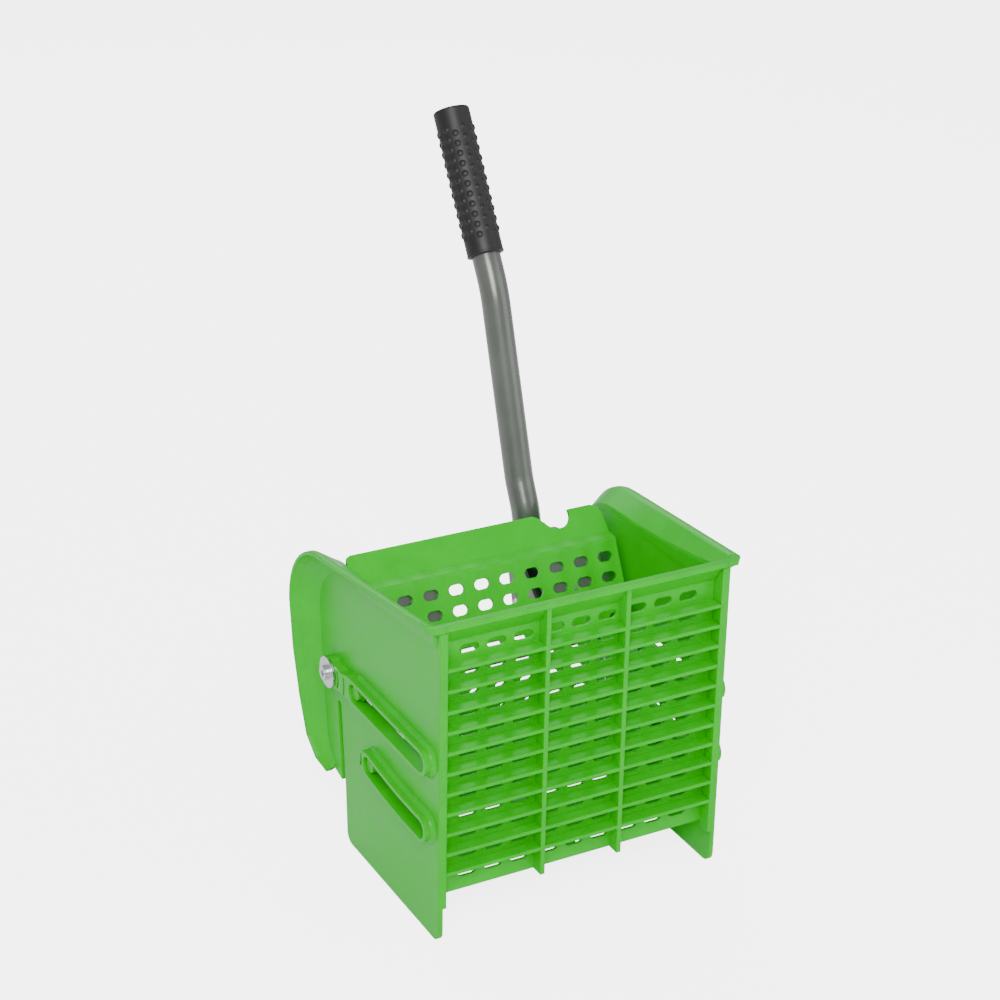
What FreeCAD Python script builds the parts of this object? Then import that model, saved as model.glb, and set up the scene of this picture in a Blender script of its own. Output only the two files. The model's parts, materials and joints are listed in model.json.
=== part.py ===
"""Press wringer for a mop bucket.

A moulded cage with a grille at its front stands on two cheeks.  Behind the grille a press plate
runs forward on four guide pins, in two level slots in each cheek, and comes upright as it closes.
A lever turns on a shaft between the cheeks; its two cranks carry the plate by curved tracks.

Frame: X runs across the wringer, Y towards its back, Z up from the surface that it stands on.
Lengths are in millimetres and angles in degrees.
"""
import FreeCAD, Part
import Sketcher
import math
import os
import re

SIZES = {
    # cage
    "inner_width": 250, "cheek_wall": 4, "post_width": 7, "cheek_depth": 170, "cheek_top": 256,
    "cheek_back": 229, "ear_foot": 54, "slit_height": 128, "slit_width": 7, "slit_lean": 9, "foot_round": 9,
    "ear_round": 54, "flare_front": 8, "flare_back": 16.5, "flare_rise": 11, "flare_wall": 3,
    "rim_height": 282, "rim_reach": 0, "rim_lip": 2.4,
    # grille
    "rib_depth": 11.7, "skin_wall": 2.5, "skin_bottom": 37, "skin_top": 262, "rib_count": 11,
    "rib_pitch": 18.1, "rib_wall": 3.2, "top_rib": 242.5, "bar_spread": 35.5, "bar_wall": 4,
    "grille_hole_length": 16.4, "grille_hole_height": 8, "grille_hole_pitch": 23.5,
    # drain floor
    "floor_depth": 136, "floor_wall": 2.5, "floor_level": 40, "drain_width": 6, "drain_count": 8,
    # guide slots and their raised rings
    "slot_width": 16, "slot_front": 19.5, "ring_wall": 3.5, "ring_rise": 8,
    # press plate: the upper pin is the plate's own origin
    "pin_back": 139, "pin_height": 158, "pin_spacing": 60, "plate_lean": 26, "plate_tilt": 26,
    "plate_travel": 106, "plate_width": 239, "plate_wall": 3, "plate_setback": 16,
    "plate_below": 105, "plate_above": 80, "plate_flange": 27, "flange_lean": 20.9,
    "plate_side": 24, "plate_hole_length": 14, "plate_hole_height": 8.5, "plate_hole_pitch": 23.6,
    "plate_row_pitch": 17.4, "plate_columns": 10, "plate_rows": 10, "notch_gap": 0.8,
    # guide pins
    "rod_bore": 8, "cap_size": 12, "upper_collar": 15.4, "lower_collar": 14.4, "fit_gap": 0.05,
    # lever
    "pivot_back": 185.2, "pivot_height": 156.3, "lever_swing": 76, "shaft_size": 16,
    "journal_size": 12, "boss_size": 27, "bush_size": 17, "crank_radius": 62, "crank_lean": 33,
    "crank_wall": 5, "crank_place": 104.5, "crank_pin": 12, "yoke_wall": 4, "yoke_place": 103,
    "yoke_flange": 54, "yoke_top": 74, "track_gap": 0.5,
    # handle
    "handle_place": 76, "tube_size": 25, "tube_wall": 1.5, "bracket_wall": 3, "grip_size": 33,
    "grip_length": 130, "lower_run": 96, "lower_lean": 16.6, "jog_run": 26, "jog_lean": 27,
    "main_run": 165, "main_lean": 17.9, "top_run": 157, "top_lean": 31.4,
    # fasteners
    "washer_size": 27, "washer_wall": 2, "screw_head": 12.5, "bolt_size": 6, "small_screw": 4,
}

doc = FreeCAD.newDocument("press_wringer")
sheet = doc.addObject("Spreadsheet::Sheet", "sizes")
for row, (alias, number) in enumerate(SIZES.items(), start=1):
    sheet.set("A%d" % row, alias)
    sheet.set("B%d" % row, str(number))
    sheet.setAlias("B%d" % row, alias)
doc.recompute()

Vector = FreeCAD.Vector
drum = Part.makeCylinder
UP = Vector(0, 0, 1)
ACROSS = Vector(1, 0, 0)
BACK = Vector(0, 1, 0)
ALONG_X = FreeCAD.Rotation(Vector(0, 1, 0), 90)

# Distances of the two cross bolts from the foot of the handle's tube.
BOLT_PLACES = (14, 48)
# Half the distance across the corners of the bolts' hexagon heads and nuts.
NUT_CORNER = 5.8

# Places that several sub-parts share, as formulas of the sheet's values.
CHEEK_IN = "(inner_width/2)"
CHEEK_OUT = "(inner_width/2 + cheek_wall)"
RING_OUT = "(inner_width/2 + cheek_wall + ring_rise)"
SKIN_BACK = "(rib_depth + skin_wall)"
SLIT_BACK = "(cheek_depth + slit_width)"
BAND_FOOT = "(rim_height - 2*rim_lip - 1)"
BAND_AT_FACE = "(skin_top - 1 + (%s - skin_top + 1)*rib_depth/(rib_depth + rim_reach))" % BAND_FOOT


def size(alias):
    """The number in the sheet's cell of this name."""
    return float(sheet.get(alias))


def bind(thing, prop, formula):
    """Drive a property by a formula in which sheet values stand under their plain names."""
    linked = re.sub(r"[a-z][a-z_]*", lambda m: "sizes." + m.group() if m.group() in SIZES
                    else m.group(), str(formula))
    thing.setExpression(prop, linked)


# ---------------------------------------------------------------- primitives and booleans

def box(name, corner, extent):
    """A block from its low corner, with formulas for its corner and its extent."""
    block = doc.addObject("Part::Box", name)
    for axis, formula in zip("xyz", corner):
        bind(block, "Placement.Base." + axis, formula)
    for prop, formula in zip(("Length", "Width", "Height"), extent):
        bind(block, prop, formula)
    return block


def rod(name, start, diameter, length, turn=ALONG_X):
    """A cylinder that runs from its start along X, or along the axis that turn gives."""
    solid = doc.addObject("Part::Cylinder", name)
    solid.Placement = FreeCAD.Placement(Vector(), turn)
    for axis, formula in zip("xyz", start):
        bind(solid, "Placement.Base." + axis, formula)
    bind(solid, "Radius", "(%s)/2" % diameter)
    bind(solid, "Height", length)
    return solid


def fused(name, pieces):
    solid = doc.addObject("Part::MultiFuse", name)
    solid.Shapes = pieces
    solid.Refine = True
    return solid


def cut(name, base, tools):
    solid = doc.addObject("Part::Cut", name)
    solid.Base = base
    solid.Tool = tools[0] if len(tools) == 1 else fused(name + "_cuts", tools)
    return solid


def kit(name, pieces):
    """Separate solids that share one node."""
    group = doc.addObject("Part::Compound", name)
    group.Links = pieces
    return group


def mirrored(name, source):
    """The same piece on the other side of the middle plane."""
    twin = doc.addObject("Part::Mirroring", name)
    twin.Source = source
    twin.Normal = Vector(1, 0, 0)
    return twin


def feature(name, shape):
    """A shape made by Part's own functions, for what no parametric feature fits."""
    solid = doc.addObject("Part::Feature", name)
    solid.Shape = shape
    return solid


# ---------------------------------------------------------------- sketches

def new_body(name):
    return doc.addObject("PartDesign::Body", name)


def plane(body, role):
    return next(f for f in body.Origin.OriginFeatures if f.Role == role)


def new_sketch(body, name, role, lift="0"):
    """A sketch on one of its body's origin planes, raised along the plane's normal."""
    sketch = body.newObject("Sketcher::SketchObject", name)
    sketch.AttachmentSupport = [(plane(body, role), "")]
    sketch.MapMode = "FlatFace"
    bind(sketch, "AttachmentOffset.Base.z", lift)
    return sketch


def polygon(sketch, points):
    """A closed outline whose corners are each placed by two formulas."""
    first = sketch.GeometryCount
    count = len(points)
    ring = [Vector(100 * math.cos(math.tau * i / count), 100 * math.sin(math.tau * i / count), 0)
            for i in range(count)]
    for i in range(count):
        sketch.addGeometry(Part.LineSegment(ring[i], ring[(i + 1) % count]), False)
    for i in range(count):
        sketch.addConstraint(Sketcher.Constraint("Coincident", first + i, 2, first + (i + 1) % count, 1))
    for i, (across, up) in enumerate(points):
        for kind, formula in (("DistanceX", across), ("DistanceY", up)):
            start = ring[i].x if kind == "DistanceX" else ring[i].y
            number = sketch.addConstraint(Sketcher.Constraint(kind, -1, 1, first + i, 1, start))
            bind(sketch, "Constraints[%d]" % number, formula)


def long_hole(sketch, across, up, length, height):
    """A level slot with round ends, centred where the formulas say."""
    first = sketch.GeometryCount
    half, radius = 8.0, 4.0
    left, right = Vector(-half, 0, 0), Vector(half, 0, 0)
    turn = math.pi / 2
    sketch.addGeometry(Part.ArcOfCircle(Part.Circle(left, UP, radius), turn, 3 * turn), False)
    sketch.addGeometry(Part.ArcOfCircle(Part.Circle(right, UP, radius), -turn, turn), False)
    sketch.addGeometry(Part.LineSegment(Vector(-half, -radius, 0), Vector(half, -radius, 0)))
    sketch.addGeometry(Part.LineSegment(Vector(half, radius, 0), Vector(-half, radius, 0)))
    for one, end, other, start in ((0, 2, 2, 1), (2, 2, 1, 1), (1, 2, 3, 1), (3, 2, 0, 1)):
        sketch.addConstraint(Sketcher.Constraint("Tangent", first + one, end, first + other, start))
    sketch.addConstraint(Sketcher.Constraint("Horizontal", first + 2))
    sketch.addConstraint(Sketcher.Constraint("Equal", first, first + 1))
    places = (("DistanceX", first, "%s - (%s - %s)/2" % (across, length, height), -half),
              ("DistanceX", first + 1, "%s + (%s - %s)/2" % (across, length, height), half),
              ("DistanceY", first, up, 0.0))
    for kind, geometry, formula, start in places:
        number = sketch.addConstraint(Sketcher.Constraint(kind, -1, 1, geometry, 3, start))
        bind(sketch, "Constraints[%d]" % number, formula)
    number = sketch.addConstraint(Sketcher.Constraint("Radius", first, radius))
    bind(sketch, "Constraints[%d]" % number, "(%s)/2" % height)


def pad(body, name, sketch, length, both_ways=False, reverse=False):
    solid = body.newObject("PartDesign::Pad", name)
    solid.Profile = sketch
    bind(solid, "Length", length)
    solid.SideType = "Symmetric" if both_ways else "One side"
    solid.Reversed = reverse
    return solid


def pocket(body, name, sketch, length, both_ways=False, reverse=False):
    hollow = body.newObject("PartDesign::Pocket", name)
    hollow.Profile = sketch
    bind(hollow, "Length", length)
    hollow.SideType = "Symmetric" if both_ways else "One side"
    hollow.Reversed = reverse
    return hollow


def pattern(body, name, originals, role, length, count):
    """Repeat features in a line; role names the origin axis and a minus sign turns it round."""
    row = body.newObject("PartDesign::LinearPattern", name)
    row.Originals = originals
    row.Direction = (next(f for f in body.Origin.OriginFeatures if f.Role == role.strip("-")), [""])
    row.Reversed = role.startswith("-")
    bind(row, "Length", length)
    bind(row, "Occurrences", count)
    body.Tip = row
    return row


# ---------------------------------------------------------------- cage

def make_grille():
    """Skin with rows of long holes, level ribs and two upright bars, under a forward-sloping rim."""
    body = new_body("front_grille")
    profile = new_sketch(body, "skin_profile", "YZ_Plane")
    polygon(profile, [("rib_depth", "skin_bottom"), (SKIN_BACK, "skin_bottom"),
                      (SKIN_BACK, "skin_top"), ("skin_wall - rim_reach + 1", "rim_height"),
                      ("-rim_reach - rim_lip", "rim_height"),
                      ("-rim_reach - rim_lip", "rim_height - 2*rim_lip"),
                      ("-rim_reach", "rim_height - 2*rim_lip - 1"), ("rib_depth", "skin_top - 1")])
    pad(body, "skin", profile, "inner_width", both_ways=True)
    ribs = new_sketch(body, "rib_profile", "YZ_Plane")
    polygon(ribs, [("0", "top_rib - rib_wall/2"), ("rib_depth + 0.5", "top_rib - rib_wall/2"),
                   ("rib_depth + 0.5", "top_rib + rib_wall/2"), ("0", "top_rib + rib_wall/2")])
    rib = pad(body, "rib", ribs, "inner_width - 2*(post_width - cheek_wall)", both_ways=True)
    pattern(body, "ribs", [rib], "-Z_Axis", "rib_pitch*(rib_count - 1)", "rib_count")
    for side, sign in (("left", "-"), ("right", "")):
        bar = new_sketch(body, side + "_bar_profile", "YZ_Plane", sign + "bar_spread")
        polygon(bar, [("0", "skin_bottom"), ("rib_depth + 0.5", "skin_bottom"),
                      ("rib_depth + 0.5", "skin_top - 1"), ("0", BAND_AT_FACE)])
        pad(body, side + "_bar", bar, "bar_wall", both_ways=True)
    holes = new_sketch(body, "hole_outlines", "XZ_Plane")
    row_height = "(top_rib + rib_pitch/2)"
    cells = ["0", "(bar_spread + 39)", "-(bar_spread + 39)"]
    for cell in cells:
        for shift in ("- grille_hole_pitch", "", "+ grille_hole_pitch"):
            long_hole(holes, "%s %s" % (cell, shift), row_height,
                      "grille_hole_length", "grille_hole_height")
    row = pocket(body, "hole_row", holes, "rib_depth + skin_wall + 5")
    body.Tip = row
    pattern(body, "hole_rows", [row], "-Z_Axis", "rib_pitch*rib_count", "rib_count + 1")
    return body


def flare_stations():
    """Stations along the cheek's flared edge: crease point, outward normal, flare and rise.

    The edge runs along the top, round the back corner and down the ear.  Flare is how far the rim
    stands outside the cheek's face, rise how far it stands beyond the crease in the side view, and
    upright how much of that rise goes straight on before it turns out, as it does near the front.
    """
    top, back, radius = size("cheek_top"), size("cheek_back"), size("ear_round")
    front_rise = size("rim_height") - top
    front_flare, back_flare = size("flare_front"), size("flare_back")
    level = back - radius
    stations = []
    for share in (0.0, 0.12, 0.25, 0.5, 0.75, 1.0):
        rise = front_rise + (size("flare_rise") - front_rise) * share
        flare = front_flare + (back_flare - front_flare) * share
        start = -size("rim_reach") + 2 * size("rim_lip")
        upright = max(0.0, (rise - size("flare_front")) * (1 - share))
        stations.append((start + (level - start) * share, top, 0.0, 1.0, flare, rise, upright))
    for degrees in range(10, 100, 10):
        angle = math.radians(90 - degrees)
        away = (math.cos(angle), math.sin(angle))
        stations.append((level + radius * away[0], top - radius + radius * away[1],
                         away[0], away[1], back_flare, size("flare_rise"), 0.0))
    fall = top - radius - (size("ear_foot") + 26)
    for share in (0.35, 0.7, 1.0):
        flare = back_flare * (1 - 0.35 * share ** 2)
        stations.append((back - 14 * share ** 1.5, top - radius - fall * share,
                         0.98, -0.17, flare, size("flare_rise") * (1 - 0.25 * share), 0.0))
    low = size("ear_foot")
    stations.append((back - 22, low + 11, 0.75, -0.66, back_flare * 0.45, 7.0, 0.0))
    stations.append((back - 34, low + 4, 0.35, -0.94, back_flare * 0.28, 4.0, 0.0))
    return stations


def flare_section(inner, outer, flare, rise, upright):
    """The flare's closed outline: across the wringer, and beyond the crease."""
    rim, wall, lip = outer - flare, size("flare_wall"), size("rim_lip")
    return [(inner, -3), (inner, upright), (rim + wall, rise), (rim - lip, rise), (rim - lip, rise - lip),
            (rim, rise - lip - 0.8), (outer, upright - 1.5), (outer, -3)]


def make_flare():
    """The flared edge of the left cheek as a ruled shell with a small lip along its rim."""
    inner, outer = -size("inner_width") / 2, -size("inner_width") / 2 - size("cheek_wall")
    rings = []
    for across, up, away_y, away_z, flare, rise, upright in flare_stations():
        section = flare_section(inner, outer, flare, rise, upright)
        corners = [Vector(x, across + away_y * beyond, up + away_z * beyond)
                   for x, beyond in section]
        rings.append(Part.makePolygon(corners + corners[:1]))
    return feature("flare", Part.makeLoft(rings, True, True))


def prism(outline, start, length, axis="x"):
    """A straight bar: an outline in the side or front view, carried along X or along Y."""
    if axis == "x":
        corners = [Vector(start, one, two) for one, two in outline]
        along = Vector(length, 0, 0)
    else:
        corners = [Vector(one, start, two) for one, two in outline]
        along = Vector(0, length, 0)
    return Part.Face(Part.makePolygon(corners + corners[:1])).extrude(along)


def make_corner():
    """The rim's front corner: the grille's sloping band and the cheek's flare run into each other."""
    inner, outer = -size("inner_width") / 2, -size("inner_width") / 2 - size("cheek_wall")
    top, lip, reach = size("rim_height"), size("rim_lip"), size("rim_reach")
    depth, skin_top, wall = size("rib_depth"), size("skin_top"), size("skin_wall")
    crease = size("cheek_top")
    rim, front, foot = outer - size("flare_front"), -reach - lip, top - 2 * lip - 1
    rise = top - crease
    band = [(depth, skin_top - 1), (depth + wall, skin_top), (wall - reach + 1, top), (front, top),
            (front, top - 2 * lip), (-reach, foot)]
    upright = rise - size("flare_front")
    section = flare_section(inner, outer, size("flare_front"), rise, upright)
    flare = [(x, crease + beyond) for x, beyond in section]
    beside = [(outer, crease - 20), (outer, crease + upright - 1.5), (rim, top - lip - 0.8),
              (rim - lip, top - lip), (rim - lip, top + 9), (rim - 60, top + 9), (rim - 60, crease - 20)]
    ahead = [(depth, skin_top - 30), (depth, skin_top - 1), (-reach, foot), (front, top - 2 * lip),
             (front, top + 9), (front - 30, top + 9), (front - 30, skin_top - 30)]
    start = -reach + 2 * lip
    band_end = prism(band, inner, rim - lip - inner).cut(prism(beside, -60, 120, "y"))
    flare_end = prism(flare, start, front - start, "y").cut(prism(ahead, rim - 60, 120))
    tip = [(rim - lip - 1, front - 1), (rim - lip + 6, front - 1), (rim - lip - 1, front + 6)]
    chamfer = Part.makePolygon([Vector(x, y, crease) for x, y in tip + tip[:1]])
    block = Part.Face(chamfer).extrude(Vector(0, 0, rise + 5))
    return feature("rim_corner", band_end.fuse(flare_end).cut(block).removeSplitter())


def make_post():
    """Front post of the cheek, up to the underside of the rim's band."""
    outer = -size("inner_width") / 2 - size("cheek_wall")
    foot = size("rim_height") - 2 * size("rim_lip") - 1
    depth, reach, low = size("rib_depth"), size("rim_reach"), size("skin_top") - 1
    face_top = low + (foot - low) * depth / (depth + reach)
    outline = [(0, size("skin_bottom") - 6), (depth, size("skin_bottom") - 6), (depth, low), (0, face_top)]
    return feature("post", prism(outline, outer, size("post_width")))


def slot_track(name, rear_y, rear_z, front_z, width, start_x, length):
    """A round-ended bar along X's side view, from the slot's rear centre to its front centre."""
    rear = Vector(0, rear_y, rear_z)
    front = Vector(0, size("slot_front"), front_z)
    run = front - rear
    lean = math.degrees(math.atan2(run.z, run.y))
    bar = Part.makeBox(length, run.Length, width, Vector(0, 0, -width / 2))
    ends = [drum(width / 2, length, Vector(0, y, 0), ACROSS)
            for y in (0, run.Length)]
    solid = bar.fuse(ends).removeSplitter()
    solid.Placement = FreeCAD.Placement(rear + Vector(start_x, 0, 0),
                                        FreeCAD.Rotation(Vector(1, 0, 0), lean))
    return feature(name, solid)


def lower_pin():
    """The lower guide pin's centre at rest, in the side view."""
    lean = math.radians(size("plate_lean"))
    return (size("pin_back") - size("pin_spacing") * math.sin(lean),
            size("pin_height") - size("pin_spacing") * math.cos(lean))


def lower_route(points=7):
    """The lower pin's centres from rest to the closed plate, and on to the slot's front end."""
    route = []
    for step in range(points):
        share = step / (points - 1)
        lean = math.radians(size("plate_lean") - size("plate_tilt") * share)
        upper_y = size("pin_back") - size("plate_travel") * share
        route.append((upper_y - size("pin_spacing") * math.sin(lean),
                      size("pin_height") - size("pin_spacing") * math.cos(lean)))
    route.append((size("slot_front"), route[-1][1]))
    return route


def crescent(name, centre_y, centre_z, radius, span):
    """A thin curved recess in the raised web, concentric with a boss."""
    depth, width = size("ring_rise") - 2, 2.6
    face = -size("inner_width") / 2 - size("cheek_wall") - size("ring_rise")
    centre = Vector(face - 1, centre_y, centre_z)
    ring = drum(radius + width / 2, depth + 1, centre, ACROSS)
    ring = ring.cut(drum(radius - width / 2, depth + 1, centre, ACROSS))
    window = Part.makeBox(depth + 1, radius + width, span,
                          Vector(face - 1, centre_y - radius - width, centre_z - span / 2))
    return feature(name, ring.common(window))


def make_cheek():
    """The left cheek: wall, front post, ear, flared edge and the raised rings of its guide slots."""
    body = new_body("cheek_wall_body")
    outline = new_sketch(body, "cheek_outline", "YZ_Plane", "-%s" % CHEEK_OUT)
    # A foot's corner is an arc drawn as four chords: 1 - cos and 1 - sin of each quarter's steps.
    arc = [("", "foot_round"), ("0.076*foot_round", "0.617*foot_round"),
           ("0.293*foot_round", "0.293*foot_round"), ("0.617*foot_round", "0.076*foot_round"),
           ("foot_round", "0")]
    front_foot = [(across or "0", up) for across, up in arc]
    back_foot = [("cheek_depth - (%s)" % (across or "0"), up) for across, up in reversed(arc)]
    polygon(outline, front_foot + back_foot + [
                      ("cheek_depth + slit_lean/4", "ear_foot"),
                      ("cheek_depth + slit_lean", "slit_height - 2"),
                      ("cheek_depth + slit_lean + 2", "slit_height"),
                      (SLIT_BACK + " + slit_lean - 2", "slit_height"),
                      (SLIT_BACK + " + slit_lean", "slit_height - 2"),
                      (SLIT_BACK + " + slit_lean/4", "ear_foot"), ("cheek_back - 34", "ear_foot + 4"),
                      ("cheek_back - 22", "ear_foot + 11"), ("cheek_back - 14", "ear_foot + 26"),
                      ("cheek_back", "cheek_top - ear_round"),
                      ("cheek_back - 0.293*ear_round", "cheek_top - 0.293*ear_round"),
                      ("cheek_back - ear_round", "cheek_top"), ("0", "cheek_top")])
    pad(body, "cheek_plate", outline, "cheek_wall")
    back_round = rod("ear_disc", ("-%s" % CHEEK_OUT, "cheek_back - ear_round", "cheek_top - ear_round"),
                     "2*ear_round", "cheek_wall")
    low_y, low_z = lower_pin()
    upper_z, ring = size("pin_height"), size("slot_width") + 2 * size("ring_wall")
    face = -size("inner_width") / 2 - size("cheek_wall") - size("ring_rise")
    rings = [slot_track("upper_ring", size("pin_back"), upper_z, upper_z, ring, face, size("ring_rise")),
             feature("lower_ring", capsule_chain(lower_route(), ring / 2, face, size("ring_rise")))]
    boss = rod("boss", ("-%s" % RING_OUT, "pivot_back", "pivot_height"), "boss_size", "ring_rise")
    web = new_body("ring_web")
    web_outline = new_sketch(web, "web_outline", "YZ_Plane", "-%s" % RING_OUT)
    half = "(slot_width/2 + ring_wall)"
    waist_y, waist = "(pin_back + pivot_back)/2 + 1", "(slot_width/2 + 1.4)"
    polygon(web_outline, [("pin_back", "pin_height - %s" % half),
                          (waist_y + " - 12", "pin_height - %s + 0.6" % half),
                          (waist_y, "pivot_height - %s" % waist),
                          ("pivot_back - 7", "pivot_height - boss_size/2 + 1.9"),
                          ("pivot_back - 7", "pivot_height + boss_size/2 - 1.9"),
                          (waist_y, "pivot_height + %s" % waist),
                          (waist_y + " - 12", "pin_height + %s - 0.6" % half),
                          ("pin_back", "pin_height + %s" % half)])
    pad(web, "web_pad", web_outline, "ring_rise")
    tail = rod("lower_ring_tail", ("-%s" % RING_OUT, str(low_y + 6.5), str(low_z + 1)),
               str(ring * 0.82), "ring_rise")
    edges = [make_post(), make_flare(), make_corner()]
    shell = fused("cheek_shell", [body, back_round, boss, web, tail] + edges + rings)
    through = size("ring_rise") + size("cheek_wall") + 2
    bore = size("slot_width")
    slots = [slot_track("upper_slot", size("pin_back"), upper_z, upper_z, bore, face - 1, through),
             feature("lower_slot", capsule_chain(lower_route(), bore / 2, face - 1, through)),
             crescent("boss_recess", size("pivot_back"), size("pivot_height"), 17.5, 15),
             crescent("slot_recess", size("pivot_back") + 12, size("pivot_height"), 41, 16),
             crescent("tail_recess", low_y + 27, low_z + 1, 15.5, 11),
             rod("bush_hole", ("-%s - 1" % RING_OUT, "pivot_back", "pivot_height"), "bush_size",
                 "ring_rise + cheek_wall + 2")]
    return cut("left_cheek", shell, slots)


def make_floor():
    """The drain floor: a thin tray behind the grille with long drain slots."""
    body = new_body("drain_floor")
    outline = new_sketch(body, "floor_profile", "YZ_Plane")
    back = "(%s + floor_depth)" % SKIN_BACK
    polygon(outline, [(SKIN_BACK, "floor_level"), (back, "floor_level"), (back, "floor_level + 9"),
                      (back + " - floor_wall", "floor_level + 9"),
                      (back + " - floor_wall", "floor_level + floor_wall"),
                      (SKIN_BACK, "floor_level + floor_wall")])
    pad(body, "floor_plate", outline, "inner_width", both_ways=True)
    slots = new_sketch(body, "drain_outline", "XY_Plane", "floor_level")
    far = "inner_width/2 - 14"
    for side in ("-", ""):
        polygon(slots, [("%s8" % side, SKIN_BACK + " + 8"), ("%s(%s)" % (side, far), SKIN_BACK + " + 8"),
                        ("%s(%s)" % (side, far), SKIN_BACK + " + 8 + drain_width"),
                        ("%s8" % side, SKIN_BACK + " + 8 + drain_width")])
    row = pocket(body, "drain_row", slots, "3*floor_wall", reverse=True)
    body.Tip = row
    pattern(body, "drain_rows", [row], "Y_Axis", "(floor_depth - 30)", "drain_count")
    return body


# ---------------------------------------------------------------- press plate

def plate_frame():
    """From the plate's own axes, origin on the upper pin, to its place at rest."""
    place = Vector(0, size("pin_back"), size("pin_height"))
    return FreeCAD.Placement(place, FreeCAD.Rotation(Vector(1, 0, 0), -size("plate_lean")))


def flange_tool(name, outline):
    """A cut through the flange, square to it: across the wringer, and up from its top edge."""
    lean = math.radians(size("flange_lean"))
    top = size("plate_above") + 5 + size("plate_flange") * math.cos(lean)
    back = -size("plate_setback") + 9 + size("plate_flange") * math.sin(lean)
    through = Vector(0, math.cos(lean), -math.sin(lean))
    rise = Vector(0, math.sin(lean), math.cos(lean))
    start = Vector(0, back, top) - through * 15
    corners = [start + Vector(x, 0, 0) + rise * up for x, up in outline]
    return feature(name, Part.Face(Part.makePolygon(corners + corners[:1])).extrude(through * 30))


def flange_cuts():
    """Rounded ends of the flange's top edge, and the sloping shoulder that leads into its notch."""
    edge, place = size("plate_width") / 2, size("handle_place")
    radius = size("tube_size") / 2 + size("notch_gap")
    cuts = []
    for name, side, reach in (("left_trim", -1, 5), ("right_trim", 1, 9)):
        outline = [(edge + 1, 2), (edge - reach, 2), (edge - reach, 0), (edge - 0.3 * reach, -0.25 * reach),
                   (edge, -reach), (edge + 1, -reach)]
        cuts.append((name, [(side * x, up) for x, up in outline]))
    shoulder = [(2, 2), (-8, 2), (-8, 0), (-4, -2), (0.4, -7), (4, -8)]
    cuts.append(("notch_shoulder", [(place - radius + x, up) for x, up in shoulder]))
    return cuts


def notch_tool():
    """What the tube needs cut from the plate's flange when the lever is fully forward."""
    radius = size("tube_size") / 2 + size("notch_gap")
    lean = math.radians(size("flange_lean"))
    top = size("plate_above") + 5 + size("plate_flange") * math.cos(lean)
    back = -size("plate_setback") + 9 + size("plate_flange") * math.sin(lean)
    along = Vector(0, math.cos(lean), -math.sin(lean))
    centre = Vector(size("handle_place"), back, top - 2) - along * 20
    return feature("notch", drum(radius, 40, centre, along))


def make_plate():
    """Leaning panel with rows of long holes, a plain flange above it and two side flanges behind."""
    body = new_body("plate_body")
    profile = new_sketch(body, "plate_profile", "YZ_Plane")
    front, wall = "-plate_setback", "plate_wall"
    flange_y = "(plate_flange*sin(flange_lean))"
    flange_z = "(plate_flange*cos(flange_lean))"
    polygon(profile, [(front, "-plate_below"), (front + " + " + wall, "-plate_below"),
                      (front + " + " + wall, "plate_above - 1"),
                      (front + " + 9 + " + wall, "plate_above + 4"),
                      (front + " + 9 + %s + %s" % (flange_y, wall), "plate_above + 5 + %s - 1" % flange_z),
                      (front + " + 9 + " + flange_y, "plate_above + 5 + " + flange_z),
                      (front + " + 9", "plate_above + 5"), (front, "plate_above")])
    pad(body, "panel", profile, "plate_width", both_ways=True)
    for name, start in (("left_side", "-plate_width/2"), ("right_side", "plate_width/2 - plate_wall")):
        side = new_sketch(body, name + "_outline", "YZ_Plane", start)
        polygon(side, [(front + " + 1", "-plate_below"), (front + " + plate_side - 10", "-plate_below"),
                       (front + " + plate_side", "-plate_below + 14"), (front + " + plate_side", "14"),
                       (front + " + plate_side - 12", "plate_above - 4"),
                       (front + " + 1", "plate_above - 1")])
        pad(body, name, side, wall)
    for name, height in (("low_rib", "-plate_below"), ("top_rib", "plate_above - 4")):
        rib = new_sketch(body, name + "_outline", "XY_Plane", height)
        near, far, edge = front + " + 1", "-plate_setback + plate_wall + 6", "(plate_width/2 - 1)"
        polygon(rib, [("-" + edge, near), (edge, near), (edge, far), ("-" + edge, far)])
        pad(body, name, rib, wall)
    holes = new_sketch(body, "plate_holes", "XZ_Plane", "plate_setback + 1")
    for column in range(int(size("plate_columns"))):
        place = "plate_hole_pitch*(%.1f - (plate_columns - 1)/2)" % column
        long_hole(holes, place, "plate_above - 15", "plate_hole_length", "plate_hole_height")
    row = pocket(body, "plate_hole_row", holes, "plate_wall + 2")
    row.Reversed = False
    body.Tip = row
    pattern(body, "plate_hole_rows", [row], "-Z_Axis", "plate_row_pitch*(plate_rows - 1)", "plate_rows")
    bores = [rod(name, ("-plate_width/2 - 1", "0", height), "rod_bore + 2*fit_gap", "plate_width + 2")
             for name, height in (("upper_bore", "0"), ("lower_bore", "-pin_spacing"))]
    corners = [flange_tool(name, outline) for name, outline in flange_cuts()]
    screws = []
    for number, (side, height) in enumerate(screw_places(), start=1):
        start = Vector(side, -size("plate_setback") - 4, height)
        hole = drum(size("small_screw") / 2, 14, start, BACK)
        screws.append(feature("plate_screw_hole_%d" % number, hole))
    return cut("press_plate", body, bores + corners + screws + [notch_tool()])


def screw_places():
    """Where the yoke screws pass the plate: places across it and heights in its own frame."""
    high = crank_track()[0][1] - 36
    return [(side * (size("yoke_place") - 30), height) for side in (-1, 1) for height in (30, high)]


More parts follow.
